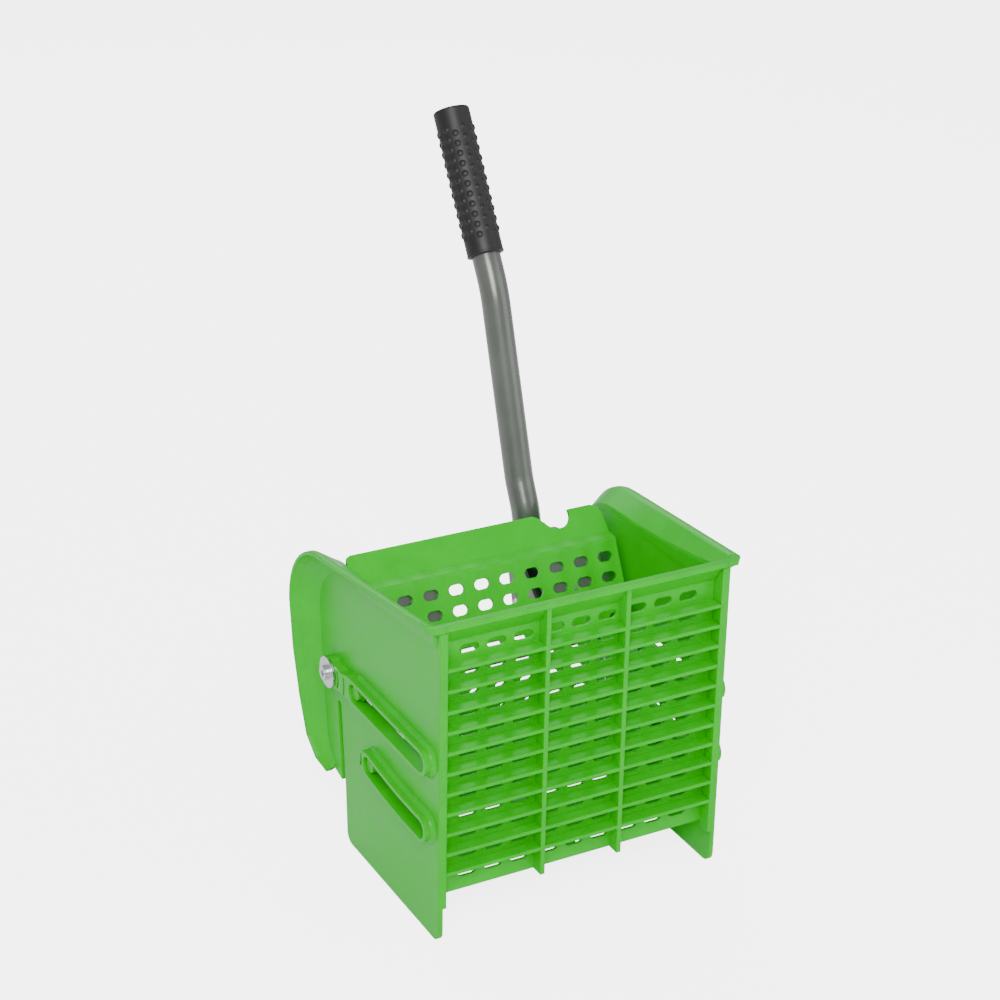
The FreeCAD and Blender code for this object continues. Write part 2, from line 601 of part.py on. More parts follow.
def crank_track(points=17):
    """The crank pin's path on the plate, in the plate's own side view.

    Lever angle, plate travel and plate tilt keep fixed ratios, so each lever angle gives one place.
    """
    path = []
    for step in range(points):
        share = step / (points - 1)
        swing = math.radians(size("lever_swing") * share - size("crank_lean"))
        pin_y = size("pivot_back") - size("crank_radius") * math.sin(swing)
        pin_z = size("pivot_height") + size("crank_radius") * math.cos(swing)
        lean = math.radians(size("plate_lean") - size("plate_tilt") * share)
        ahead = pin_y - (size("pin_back") - size("plate_travel") * share)
        above = pin_z - size("pin_height")
        path.append((ahead * math.cos(lean) - above * math.sin(lean),
                     ahead * math.sin(lean) + above * math.cos(lean)))
    return path


def capsule_chain(path, radius, start_x, length):
    """A bar of round section swept sideways ACROSS a path in the side view."""
    pieces = []
    for here, ahead in zip(path, path[1:]):
        step = Vector(0, ahead[0] - here[0], ahead[1] - here[1])
        slab = Part.makeBox(length, step.Length, 2 * radius, Vector(0, 0, -radius))
        slab.Placement = FreeCAD.Placement(Vector(start_x, here[0], here[1]),
                                           FreeCAD.Rotation(ACROSS, math.degrees(math.atan2(step.z, step.y))))
        pieces.append(slab)
    for place in path:
        pieces.append(drum(radius, length, Vector(start_x, place[0], place[1]), ACROSS))
    return pieces[0].fuse(pieces[1:]).removeSplitter()


def make_yoke():
    """Left drive yoke: a flange screwed to the plate's back and a web with the crank's track."""
    path = crank_track()
    web_start = -size("yoke_place")
    pin = size("crank_pin") / 2 + size("track_gap")
    face = -size("plate_setback") + size("plate_wall")
    rim = capsule_chain(path, pin + 5, web_start, size("yoke_wall"))
    top = path[0][1] + 6
    arm = Part.makePolygon([Vector(web_start, y, z) for y, z in (
        (face, 22), (face + 30, 46), (path[-1][0] - 12, path[-1][1] - 4), (path[-1][0], path[-1][1]),
        (path[6][0], path[6][1]), (path[0][0], top), (face + 4, top - 26), (face, top - 34), (face, 22))])
    web = Part.Face(arm).extrude(Vector(size("yoke_wall"), 0, 0))
    flange_foot = 22
    flange = Part.makeBox(size("yoke_flange"), 2.5, size("yoke_top") - flange_foot,
                          Vector(web_start, face, flange_foot))
    yoke = web.fuse([rim, flange]).removeSplitter()
    yoke = yoke.cut(capsule_chain(path, pin, web_start - 1, size("yoke_wall") + 2))
    for place, height in screw_places()[:2]:
        yoke = yoke.cut(drum(size("small_screw") / 2, 12, Vector(place, face - 4, height), BACK))
    return feature("drive_yoke_left", yoke)


# ---------------------------------------------------------------- guide pins

def make_guide(level, height, collar):
    """A rod across the plate and the left moulded guide on its end."""
    long_rod = rod(level + "_rod_bar", ("-%s - 3" % CHEEK_IN, "0", height), "rod_bore", "inner_width + 6")
    bar = kit(level + "_guide_rod", [long_rod])
    wide = rod(level + "_collar", ("-%s - 0.5" % CHEEK_OUT, "0", height), collar, "cheek_wall + 1")
    cap = rod(level + "_cap", ("-%s + 2.5" % RING_OUT, "0", height), "cap_size", "ring_rise")
    bore = rod(level + "_guide_bore", ("-%s - 3" % CHEEK_IN, "0", height), "rod_bore", "10")
    guide = cut(level + "_guide_left", fused(level + "_guide_solid", [wide, cap]), [bore])
    return bar, guide


# ---------------------------------------------------------------- lever

def make_shaft():
    """Shaft between the cheeks with a smaller journal at each end, tapped for the end screws."""
    long_bar = rod("shaft_bar", ("-%s + 4" % CHEEK_IN, "pivot_back", "pivot_height"),
                   "shaft_size", "inner_width - 8")
    journals = rod("shaft_journals", ("-%s - 0.3" % RING_OUT, "pivot_back", "pivot_height"),
                   "journal_size", "2*%s + 0.6" % RING_OUT)
    taps = [rod("left_tap", ("-%s - 1" % RING_OUT, "pivot_back", "pivot_height"), "bolt_size", "18"),
            rod("right_tap", ("%s - 17" % RING_OUT, "pivot_back", "pivot_height"), "bolt_size", "18")]
    return cut("pivot_shaft", fused("shaft_solid", [long_bar, journals]), taps)


def make_bush():
    """Flanged bush in the cheek's boss: the journal runs in it."""
    sleeve = rod("bush_sleeve", ("-%s" % RING_OUT, "pivot_back", "pivot_height"), "bush_size",
                 "ring_rise + cheek_wall")
    collar = rod("bush_collar", ("-%s" % CHEEK_IN, "pivot_back", "pivot_height"), "bush_size + 6", "3")
    bore = rod("bush_bore", ("-%s - 1" % RING_OUT, "pivot_back", "pivot_height"),
               "journal_size + 2*fit_gap", "ring_rise + cheek_wall + 6")
    return cut("pivot_bush_left", fused("bush_solid", [sleeve, collar]), [bore])


def make_end_screw():
    """Washer and pan-head screw on the shaft's left end."""
    ring = rod("washer_disc", ("-%s - 0.3 - washer_wall" % RING_OUT, "pivot_back", "pivot_height"),
               "washer_size", "washer_wall")
    hole = rod("washer_hole", ("-%s - 1.3 - washer_wall" % RING_OUT, "pivot_back", "pivot_height"),
               "bolt_size", "washer_wall + 2")
    washer = cut("pivot_washer_left", ring, [hole])
    head_start = "-%s - 0.3 - washer_wall - 3.6" % RING_OUT
    head = rod("head_disc", (head_start, "pivot_back", "pivot_height"), "screw_head", "3.6")
    shank = rod("head_shank", ("-%s - 0.3 - washer_wall" % RING_OUT, "pivot_back", "pivot_height"),
                "bolt_size", "16")
    recess_start = head_start + " - 1"
    across = box("recess_flat", (recess_start, "pivot_back - 3.2", "pivot_height - 0.8"),
                 ("3.2", "6.4", "1.6"))
    upright = box("recess_upright", (recess_start, "pivot_back - 0.8", "pivot_height - 3.2"),
                  ("3.2", "1.6", "6.4"))
    screw = cut("pivot_screw_left", fused("screw_solid", [head, shank]), [across, upright])
    return washer, screw


def crank_point(distance, lean=None):
    """A point on the crank's centre line at rest, in the side view."""
    angle = math.radians(size("crank_lean") if lean is None else lean)
    return (size("pivot_back") + distance * math.sin(angle),
            size("pivot_height") + distance * math.cos(angle))


def make_crank():
    """Left crank: a flat arm welded round the shaft, with a hub."""
    start = -size("crank_place") - size("crank_wall")
    foot = Vector(start, size("pivot_back"), size("pivot_height"))
    end_y, end_z = crank_point(size("crank_radius"))
    radius = size("shaft_size") / 2 + 6
    slab = Part.makeBox(size("crank_wall"), size("crank_radius"), 2 * radius - 8,
                        Vector(0, 0, -radius + 4))
    slab.Placement = FreeCAD.Placement(foot, FreeCAD.Rotation(ACROSS, 90 - size("crank_lean")))
    hub = drum(radius, size("crank_wall") + 8, foot - ACROSS * 8, ACROSS)
    tip = drum(radius - 4, size("crank_wall"), Vector(start, end_y, end_z), ACROSS)
    arm = hub.fuse([slab, tip]).removeSplitter()
    arm = arm.cut(drum(size("shaft_size") / 2, 40, foot - ACROSS * 20, ACROSS))
    arm = arm.cut(drum(4, 40, Vector(start - 20, end_y, end_z), ACROSS))
    return feature("crank_arm_left", arm)


def make_crank_pin():
    """Shouldered pin riveted in the crank: its wide part runs in the yoke's track."""
    end_y, end_z = crank_point(size("crank_radius"))
    face = -size("crank_place")
    shoulder = drum(size("crank_pin") / 2, size("yoke_wall") + 1.2,
                                 Vector(face, end_y, end_z), ACROSS)
    stem = drum(4, size("crank_wall"), Vector(face - size("crank_wall"), end_y, end_z), ACROSS)
    head = drum(size("crank_pin") / 2 + 3, 2,
                             Vector(face + size("yoke_wall") + 2.5, end_y, end_z), ACROSS)
    neck_start = Vector(face + size("yoke_wall") + 1, end_y, end_z)
    neck = drum(size("crank_pin") / 2, 2, neck_start, ACROSS)
    return feature("crank_pin_left", shoulder.fuse([stem, neck, head]).removeSplitter())


# ---------------------------------------------------------------- handle

def tube_route():
    """The tube's corners in the side view, from its foot in the bracket to its top in the grip."""
    across, up = size("pivot_back") + 27.0, size("pivot_height") - 9.0
    corners = [(across, up)]
    for run, lean in (("lower_run", "lower_lean"), ("jog_run", "jog_lean"),
                      ("main_run", "main_lean"), ("top_run", "top_lean")):
        angle = math.radians(size(lean))
        across += size(run) * math.sin(angle)
        up += size(run) * math.cos(angle)
        corners.append((across, up))
    return corners


def tube_wire(bends=(60, 60, 120)):
    """Straight runs joined by tangent arcs, as a bent tube has."""
    places = [Vector(size("handle_place"), y, z) for y, z in tube_route()]
    edges, start = [], places[0]
    for corner, before, after, radius in zip(places[1:-1], places, places[2:], bends):
        inward, outward = (before - corner).normalize(), (after - corner).normalize()
        turn = math.pi - inward.getAngle(outward)
        reach = radius * math.tan(turn / 2)
        first, last = corner + inward * reach, corner + outward * reach
        bisector = (inward + outward).normalize()
        middle = corner + bisector * (radius / math.cos(turn / 2) - radius)
        edges += [Part.makeLine(start, first), Part.Arc(first, middle, last).toShape()]
        start = last
    edges.append(Part.makeLine(start, places[-1]))
    return Part.Wire(edges)


def make_tube():
    """Bent steel tube of the handle."""
    wire = tube_wire()
    start = wire.Edges[0].Vertexes[0].Point
    ahead = (wire.Edges[0].Vertexes[1].Point - start).normalize()
    def sweep(radius):
        ring = Part.Wire([Part.makeCircle(radius, start, ahead)])
        return wire.makePipeShell([ring], True, True)
    outer, inner = size("tube_size") / 2, size("tube_size") / 2 - size("tube_wall")
    tube = sweep(outer).cut(sweep(inner))
    for distance in BOLT_PLACES:
        place = start + ahead * distance - Vector(40, 0, 0)
        tube = tube.cut(drum(size("bolt_size") / 2, 80, place, ACROSS))
    return feature("handle_tube", tube)


def tube_end():
    """The tube's top point and direction."""
    places = tube_route()
    top = Vector(size("handle_place"), *places[-1])
    under = Vector(size("handle_place"), *places[-2])
    return top, (top - under).normalize()


def make_grip():
    """Rubber grip pushed over the tube's top, closed above."""
    top, away = tube_end()
    radius, length, cap = size("grip_size") / 2, size("grip_length"), 4.0
    grip = drum(radius, length, top + away * (cap - length), away)
    bore = drum(size("tube_size") / 2, length, top - away * length, away)
    edges = [edge for edge in grip.Edges if edge.Length > math.tau * radius * 0.99]
    grip = grip.makeFillet(2.0, [e for e in edges if e.Closed][:2])
    return feature("handle_grip", grip.cut(bore))


def make_bracket():
    """Channel that holds the tube's foot: two sides welded round the shaft and a web behind."""
    half, wall = size("tube_size") / 2 + 0.3, size("bracket_wall")
    middle, along = size("handle_place"), Vector(1, 0, 0)
    foot_y, foot_z = tube_route()[0]
    lean = math.radians(size("lower_lean"))
    pivot = (size("pivot_back"), size("pivot_height"))
    def beside(distance, behind):
        return (foot_y + distance * math.sin(lean) + behind * math.cos(lean),
                foot_z + distance * math.cos(lean) - behind * math.sin(lean))
    rear = half + wall
    side = [(pivot[0] - 12, pivot[1] - 4), (pivot[0] + 2, pivot[1] - 15), beside(-6, rear),
            beside(62, rear), beside(62, -2), (pivot[0] - 4, pivot[1] + 14)]
    walls = []
    for start in (middle - half - wall, middle + half):
        outline = Part.makePolygon([Vector(start, y, z) for y, z in side + side[:1]])
        plate = Part.Face(outline).extrude(along * wall)
        ear = drum(14, wall, Vector(start, *pivot), along)
        walls.append(plate.fuse(ear))
    web = [beside(-6, half), beside(-6, rear), beside(62, rear), beside(62, half)]
    outline = Part.makePolygon([Vector(middle - half, y, z) for y, z in web + web[:1]])
    walls.append(Part.Face(outline).extrude(along * 2 * half))
    bracket = walls[0].fuse(walls[1:]).removeSplitter()
    bracket = bracket.cut(drum(size("shaft_size") / 2, 80, Vector(middle - 40, *pivot), along))
    for distance in BOLT_PLACES:
        start = Vector(middle - 40, *beside(distance, 0))
        bracket = bracket.cut(drum(size("bolt_size") / 2, 80, start, along))
    return feature("handle_bracket", bracket), [beside(distance, 0) for distance in BOLT_PLACES]


def make_bolts(places):
    """Two hexagon bolts across the bracket and the tube, and their nuts."""
    half = size("tube_size") / 2 + 0.3 + size("bracket_wall")
    middle = size("handle_place")
    def hexagon(start, y, z, height):
        corners = [Vector(start, y + NUT_CORNER * math.cos(math.tau * i / 6),
                          z + NUT_CORNER * math.sin(math.tau * i / 6)) for i in range(7)]
        return Part.Face(Part.makePolygon(corners)).extrude(ACROSS * height)
    bolts, nuts = [], []
    for number, (y, z) in enumerate(places, start=1):
        shank = drum(size("bolt_size") / 2, 2 * half + 3.8, Vector(middle - half, y, z), ACROSS)
        head = hexagon(middle - half - 4, y, z, 4)
        bolts.append(feature("bolt_%d" % number, shank.fuse(head).removeSplitter()))
        tapped = drum(size("bolt_size") / 2, 10, Vector(middle + half - 2, y, z), ACROSS)
        nuts.append(feature("nut_%d" % number, hexagon(middle + half, y, z, 3.2).cut(tapped)))
    return kit("bracket_bolts", bolts), kit("bracket_nuts", nuts)


def make_yoke_screws():
    """Four pan-head screws that hold the yokes' flanges to the plate, in the plate's own frame."""
    face = -size("plate_setback") + size("plate_wall") + 2.5
    along = Vector(0, 1, 0)
    screws = []
    for number, (side, height) in enumerate(screw_places(), start=1):
        middle = Vector(side, face, height)
        shank = drum(size("small_screw") / 2, 6, middle - along * 6, along)
        head = drum(4, 2.4, middle, along)
        screws.append(feature("yoke_screw_%d" % number, head.fuse(shank)))
    return kit("yoke_screws", screws)


# ---------------------------------------------------------------- the whole

def build():
    """Make every sub-part and give the ones that ride on the plate its leaning frame."""
    nodes = {}
    nodes["front_grille"] = make_grille()
    nodes["left_cheek"] = make_cheek()
    nodes["right_cheek"] = mirrored("right_cheek", nodes["left_cheek"])
    nodes["drain_floor"] = make_floor()
    nodes["pivot_bush_left"] = make_bush()
    nodes["pivot_bush_right"] = mirrored("pivot_bush_right", nodes["pivot_bush_left"])
    nodes["pivot_shaft"] = make_shaft()
    washer, screw = make_end_screw()
    nodes["pivot_washer_left"], nodes["pivot_screw_left"] = washer, screw
    nodes["pivot_washer_right"] = mirrored("pivot_washer_right", washer)
    nodes["pivot_screw_right"] = mirrored("pivot_screw_right", screw)
    nodes["crank_arm_left"] = make_crank()
    nodes["crank_arm_right"] = mirrored("crank_arm_right", nodes["crank_arm_left"])
    nodes["crank_pin_left"] = make_crank_pin()
    nodes["crank_pin_right"] = mirrored("crank_pin_right", nodes["crank_pin_left"])
    nodes["handle_bracket"], bolt_places = make_bracket()
    nodes["bracket_bolts"], nodes["bracket_nuts"] = make_bolts(bolt_places)
    nodes["handle_tube"] = make_tube()
    nodes["handle_grip"] = make_grip()
    plate_nodes = {"press_plate": make_plate(), "yoke_screws": make_yoke_screws()}
    plate_nodes["drive_yoke_left"] = make_yoke()
    plate_nodes["drive_yoke_right"] = mirrored("drive_yoke_right", plate_nodes["drive_yoke_left"])
    levels = (("upper", "0", "upper_collar"), ("lower", "-pin_spacing", "lower_collar"))
    for level, height, collar in levels:
        bar, guide = make_guide(level, height, collar)
        plate_nodes[level + "_guide_rod"] = bar
        plate_nodes[level + "_guide_left"] = guide
        plate_nodes[level + "_guide_right"] = mirrored(level + "_guide_right", guide)
    doc.recompute()
    place(plate_nodes, plate_frame())
    nodes.update(plate_nodes)
    return nodes


def place(nodes, move):
    """Move sub-parts in the side view; a mirrored twin follows the piece that it mirrors."""
    for solid in nodes.values():
        if solid.TypeId != "Part::Mirroring":
            solid.Placement = move * solid.Placement
    doc.recompute()


def centre_depth(nodes):
    """How far behind the ribs' face the middle of the whole wringer lies."""
    low = min(solid.Shape.BoundBox.YMin for solid in nodes.values())
    high = max(solid.Shape.BoundBox.YMax for solid in nodes.values())
    return (low + high) / 2


def check(nodes):
    """Stop before anything is written if a feature failed or a shape is not sound."""
    failed = [thing.Name for thing in doc.Objects if "Invalid" in thing.State or "Error" in thing.State]
    if failed:
        raise RuntimeError("did not compute: " + ", ".join(failed))
    for name, solid in nodes.items():
        if solid.Shape.isNull() or not solid.Shape.isValid():
            raise RuntimeError("%s is not a valid shape" % name)


def export(nodes):
    os.makedirs("parts", exist_ok=True)
    for name, solid in nodes.items():
        solid.Label = name
        solid.Shape.exportStep("parts/%s.step" % name)


nodes = build()
shift = FreeCAD.Placement(Vector(0, -centre_depth(nodes), 0), FreeCAD.Rotation())
place(nodes, shift)
check(nodes)
export(nodes)
print("origin lies %.3f mm behind the ribs' face" % -shift.Base.y)
for name, solid in sorted(nodes.items()):
    bounds = solid.Shape.BoundBox
    print("%-20s %d solid(s) %9.1f mm3  X %7.1f %7.1f  Y %7.1f %7.1f  Z %7.1f %7.1f" % (
        name, len(solid.Shape.Solids), solid.Shape.Volume, bounds.XMin, bounds.XMax,
        bounds.YMin, bounds.YMax, bounds.ZMin, bounds.ZMax))
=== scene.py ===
"""Looks of a press wringer for a mop bucket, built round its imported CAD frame."""

import json
import logging
import math
from dataclasses import dataclass, field
from enum import Enum

import bpy
import numpy as np
from mathutils import Matrix, Vector


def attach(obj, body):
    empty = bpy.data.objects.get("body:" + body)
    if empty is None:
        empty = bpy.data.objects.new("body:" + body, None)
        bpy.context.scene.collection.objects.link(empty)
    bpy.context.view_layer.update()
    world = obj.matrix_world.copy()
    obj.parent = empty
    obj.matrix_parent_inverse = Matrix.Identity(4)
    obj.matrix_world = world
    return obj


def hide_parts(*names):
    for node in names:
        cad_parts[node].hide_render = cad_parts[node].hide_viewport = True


log = logging.getLogger("wringer")
MM = 0.001
# How far the lever's pivot lies behind the face of the grille's ribs, in millimetres.
PIVOT_BEHIND_RIBS = 185.2

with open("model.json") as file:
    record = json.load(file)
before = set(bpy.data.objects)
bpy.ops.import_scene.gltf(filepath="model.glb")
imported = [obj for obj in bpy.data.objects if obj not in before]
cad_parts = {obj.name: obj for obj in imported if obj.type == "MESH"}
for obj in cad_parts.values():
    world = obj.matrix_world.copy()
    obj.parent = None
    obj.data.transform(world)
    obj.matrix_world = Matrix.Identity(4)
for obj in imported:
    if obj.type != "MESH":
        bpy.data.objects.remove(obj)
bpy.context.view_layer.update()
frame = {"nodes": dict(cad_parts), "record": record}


# ---------------------------------------------------------------- small helpers

def joint_place(name: str) -> np.ndarray:
    """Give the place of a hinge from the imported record, in millimetres.

    Args:
        name: The joint's name in the record.

    Returns:
        Its point as an array of three numbers.
    """
    joints = frame["record"]["behaviour"]["joints"]
    return np.array(next(j["pos_m"] for j in joints if j["name"] == name)) / MM


def linear(hex_colour: str) -> tuple[float, float, float, float]:
    """Turn an sRGB hex colour into the linear colour that a shader wants.

    Args:
        hex_colour: Six hexadecimal digits.

    Returns:
        Linear red, green, blue and an alpha of one.
    """
    shares = [int(hex_colour[i:i + 2], 16) / 255 for i in (0, 2, 4)]
    made = [c / 12.92 if c <= 0.04045 else ((c + 0.055) / 1.055) ** 2.4 for c in shares]
    return (made[0], made[1], made[2], 1.0)


def add_node(tree: bpy.types.NodeTree, kind: str, settings: dict | None = None,
             links: dict | None = None) -> bpy.types.Node:
    """Add a shader node, set its values and link its inputs.

    Args:
        tree: The material's node tree.
        kind: Blender's name for the node type.
        settings: Node properties by name, or input values by input name or number.
        links: Output sockets by the input name or number that each one feeds.

    Returns:
        The new node.
    """
    node = tree.nodes.new(kind)
    for key, value in (settings or {}).items():
        if isinstance(key, str) and hasattr(node, key) and key not in node.inputs:
            setattr(node, key, value)
        else:
            node.inputs[key].default_value = value
    for key, socket in (links or {}).items():
        tree.links.new(socket, node.inputs[key])
    return node


def start_material(name: str) -> tuple[bpy.types.Material, bpy.types.NodeTree, bpy.types.NodeSocket]:
    """Make an empty material whose patterns will read the piece's own coordinates.

    Args:
        name: The material's name.

    Returns:
        The material, its node tree and the mapped Object coordinates.
    """
    material = bpy.data.materials.new(name)
    material.use_nodes = True
    tree = material.node_tree
    tree.nodes.clear()
    place = add_node(tree, "ShaderNodeTexCoord")
    mapped = add_node(tree, "ShaderNodeMapping", {}, {"Vector": place.outputs["Object"]})
    return material, tree, mapped.outputs[0]


def two_tones(ramp: bpy.types.Node, low: str, high: str, span: tuple[float, float] = (0.0, 1.0)) -> None:
    """Set a colour ramp to run from one tone to another.

    Args:
        ramp: The ramp's node.
        low: The hex colour at the span's start.
        high: The hex colour at its end.
        span: Where along the ramp the two colours stand.
    """
    for element, tone, position in zip(ramp.color_ramp.elements, (low, high), span):
        element.position, element.color = position, linear(tone)


def grid_faces(rows: int, columns: int, close_rows: bool, close_columns: bool) -> np.ndarray:
    """Number the corners of the quads of a grid whose points run row by row.

    Args:
        rows: Number of rows of points.
        columns: Number of points in each row.
        close_rows: Whether the last row joins the first.
        close_columns: Whether each row's last point joins its first.

    Returns:
        An array with four point numbers for each quad.
    """
    row = np.arange(rows if close_rows else rows - 1)[:, None]
    column = np.arange(columns if close_columns else columns - 1)[None, :]
    next_row, next_column = (row + 1) % rows, (column + 1) % columns
    corners = [row * columns + column, row * columns + next_column,
               next_row * columns + next_column, next_row * columns + column]
    return np.stack([np.broadcast_to(c, (row.size, column.size)) for c in corners], -1).reshape(-1, 4)


def add_piece(name: str, points: np.ndarray, faces: list[np.ndarray], body: str,
              material: bpy.types.Material, replaces: tuple[str, ...] = ()) -> bpy.types.Object:
    """Make a smooth mesh object at the origin that rides on a CAD body.

    Args:
        name: The piece's name.
        points: Its vertices in millimetres, one row each.
        faces: Arrays of point numbers, one row for each face.
        body: The CAD body that it rides on.
        material: Its finish.
        replaces: CAD nodes that it stands for.

    Returns:
        The new object.
    """
    mesh = bpy.data.meshes.new(name)
    polygons = [face for block in faces for face in block.tolist()]
    mesh.from_pydata((points * MM).tolist(), [], polygons)
    mesh.validate()
    work = Solid(mesh)
    work.face_outwards()
    mesh.polygons.foreach_set("use_smooth", np.ones(len(mesh.polygons), bool))
    mesh.materials.append(material)
    piece = bpy.data.objects.new(name, mesh)
    bpy.context.scene.collection.objects.link(piece)
    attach(piece, body)
    if replaces:
        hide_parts(*replaces)
    log.info("%s: %d faces on %s", name, len(mesh.polygons), body)
    return piece


@dataclass
class Solid:
    """A closed mesh whose volume tells which way its faces point."""

    mesh: bpy.types.Mesh

    def volume(self) -> float:
        """Sum the signed tetrahedra from the origin to each triangle of the surface."""
        self.mesh.calc_loop_triangles()
        count = len(self.mesh.loop_triangles)
        corners = np.empty(count * 3, np.int32)
        self.mesh.loop_triangles.foreach_get("vertices", corners)
        places = np.empty(len(self.mesh.vertices) * 3)
        self.mesh.vertices.foreach_get("co", places)
        a, b, c = np.moveaxis(places.reshape(-1, 3)[corners.reshape(-1, 3)], 1, 0)
        return float(np.einsum("ij,ij->i", a, np.cross(b, c)).sum() / 6)

    def face_outwards(self) -> None:
        """Turn every face round if the surface's volume comes out negative."""
        if self.volume() < 0:
            self.mesh.flip_normals()


def swept(path: np.ndarray, side: np.ndarray, up: np.ndarray, profile: np.ndarray) -> np.ndarray:
    """Carry a profile along a path: each ring is path + across * side + height * up.

    Args:
        path: Points of the path, one row each.
        side: Unit vectors for the profile's first direction, one for each path point.
        up: Unit vectors for its second direction.
        profile: The profile's points, or one profile for each path point.

    Returns:
        Vertices, ring after ring.
    """
    shape = profile if profile.ndim == 3 else np.broadcast_to(profile, (len(path), *profile.shape))
    rings = path[:, None] + shape[..., :1] * side[:, None] + shape[..., 1:] * up[:, None]
    return rings.reshape(-1, 3)


def circle(radius: float, count: int) -> np.ndarray:
    """Give points at equal angles round a circle.

    Args:
        radius: The circle's radius.
        count: Number of points.

    Returns:
        An array of count rows of two numbers.
    """
    angle = np.linspace(0, math.tau, count, endpoint=False)
    return radius * np.stack([np.cos(angle), np.sin(angle)], -1)


# ---------------------------------------------------------------- finishes

@dataclass(frozen=True)
class MouldedPolypropylene:
    """Injection-moulded polypropylene, glossy-satin from a fine eroded mould, coloured all through.

    The eye sees a soft broad gloss, a faint orange-peel from shrinkage and slightly lighter edges.
    """

    name: str
    colour: str = "08B800"
    deep: str = "06AE00"
    roughness: float = 0.34
    edge_radius_mm: float = 1.4
    shrink_mm: float = 26.0
    # The mould's eroded grain is about 0.1 mm; it is drawn coarser so that it shows.
    grain_mm: float = 1.1
    flute_pitch_mm: float = 0.0
    flute_top_mm: float = 238.0

    def make(self) -> bpy.types.Material:
        """Build the material: colour from wide noise, bump from shrink waves and grain, bevelled edges."""
        material, tree, place = start_material(self.name)
        wide = add_node(tree, "ShaderNodeTexNoise", {"Scale": 1 / (self.shrink_mm * MM), "Detail": 2.0},
                        {"Vector": place})
        fine = add_node(tree, "ShaderNodeTexNoise", {"Scale": 1 / (self.grain_mm * MM), "Detail": 1.0},
                        {"Vector": place})
        tint = add_node(tree, "ShaderNodeValToRGB", {}, {"Fac": wide.outputs["Fac"]})
        two_tones(tint, self.deep, self.colour, (0.3, 0.7))
        gloss = add_node(tree, "ShaderNodeMapRange",
                         {"From Min": 0.3, "From Max": 0.7, "To Min": self.roughness - 0.05,
                          "To Max": self.roughness + 0.06}, {"Value": wide.outputs["Fac"]})
        edges = add_node(tree, "ShaderNodeBevel", {"samples": 4, "Radius": self.edge_radius_mm * MM})
        ground = edges.outputs[0]
        if self.flute_pitch_mm:
            ground = self.fluted(tree, place, ground)
        waves = add_node(tree, "ShaderNodeBump", {"Strength": 0.12, "Distance": 0.6 * MM},
                         {"Height": wide.outputs["Fac"], "Normal": ground})
        grain = add_node(tree, "ShaderNodeBump", {"Strength": 0.10, "Distance": 0.08 * MM},
                         {"Height": fine.outputs["Fac"], "Normal": waves.outputs[0]})
        shader = add_node(tree, "ShaderNodeBsdfPrincipled",
                          {"IOR": 1.49, "Subsurface Weight": 0.12, "Subsurface Radius": (0.6, 1.0, 0.4),
                           "Subsurface Scale": 0.004, "Specular IOR Level": 0.3},
                          {"Base Color": tint.outputs[0], "Roughness": gloss.outputs[0],
                           "Normal": grain.outputs[0]})
        add_node(tree, "ShaderNodeOutputMaterial", {}, {"Surface": shader.outputs[0]})
        return material

    def fluted(self, tree: bpy.types.NodeTree, place: bpy.types.NodeSocket,
               normal: bpy.types.NodeSocket) -> bpy.types.NodeSocket:
        """Add shallow upright flutes: a sine across X, faded out above the panel's top.

        Args:
            tree: The material's node tree.
            place: The Object coordinates.
            normal: The normal that the flutes bend.

        Returns:
            The bent normal.
        """
        bands = add_node(tree, "ShaderNodeTexWave", {"bands_direction": "X",
                                                     "Scale": math.tau / (20 * self.flute_pitch_mm * MM)},
                         {"Vector": place})
        height = add_node(tree, "ShaderNodeSeparateXYZ", {}, {"Vector": place})
        fade = add_node(tree, "ShaderNodeMapRange", {"From Min": (self.flute_top_mm + 1) * MM,
                                                     "From Max": (self.flute_top_mm - 4) * MM},
                        {"Value": height.outputs["Z"]})
        both = add_node(tree, "ShaderNodeMath", {"operation": "MULTIPLY"},
                        {0: bands.outputs["Fac"], 1: fade.outputs[0]})
        bump = add_node(tree, "ShaderNodeBump", {"Strength": 0.7, "Distance": 1.6 * MM},
                        {"Height": both.outputs[0], "Normal": normal})
        return bump.outputs[0]


@dataclass(frozen=True)
class PowderCoatedSteel:
    """Bent steel under smooth grey powder coat: a streak of gloss with slight orange-peel."""

    name: str = "grey_powder_coated_steel"
    colour: str = "5E625D"
    dark: str = "575B56"
    # Orange-peel of a powder coat is about 1 to 2 mm from crest to crest.
    peel_mm: float = 1.6

    def make(self) -> bpy.types.Material:
        """Build the material: grey varied by wide noise under a coat, with an orange-peel bump."""
        material, tree, place = start_material(self.name)
        wide = add_node(tree, "ShaderNodeTexNoise", {"Scale": 30.0, "Detail": 4.0}, {"Vector": place})
        peel = add_node(tree, "ShaderNodeTexNoise", {"Scale": 1 / (self.peel_mm * MM), "Detail": 1.0},
                        {"Vector": place})
        tint = add_node(tree, "ShaderNodeValToRGB", {}, {"Fac": wide.outputs["Fac"]})
        two_tones(tint, self.dark, self.colour, (0.35, 0.65))
        gloss = add_node(tree, "ShaderNodeMapRange", {"To Min": 0.24, "To Max": 0.36},
                         {"Value": wide.outputs["Fac"]})
        edges = add_node(tree, "ShaderNodeBevel", {"samples": 4, "Radius": 0.5 * MM})
        bump = add_node(tree, "ShaderNodeBump", {"Strength": 0.10, "Distance": 0.05 * MM},
                        {"Height": peel.outputs["Fac"], "Normal": edges.outputs[0]})
        shader = add_node(tree, "ShaderNodeBsdfPrincipled",
                          {"Metallic": 0.35, "Coat Weight": 0.4, "Coat Roughness": 0.12},
                          {"Base Color": tint.outputs[0], "Roughness": gloss.outputs[0],
                           "Normal": bump.outputs[0]})
        add_node(tree, "ShaderNodeOutputMaterial", {}, {"Surface": shader.outputs[0]})
        return material


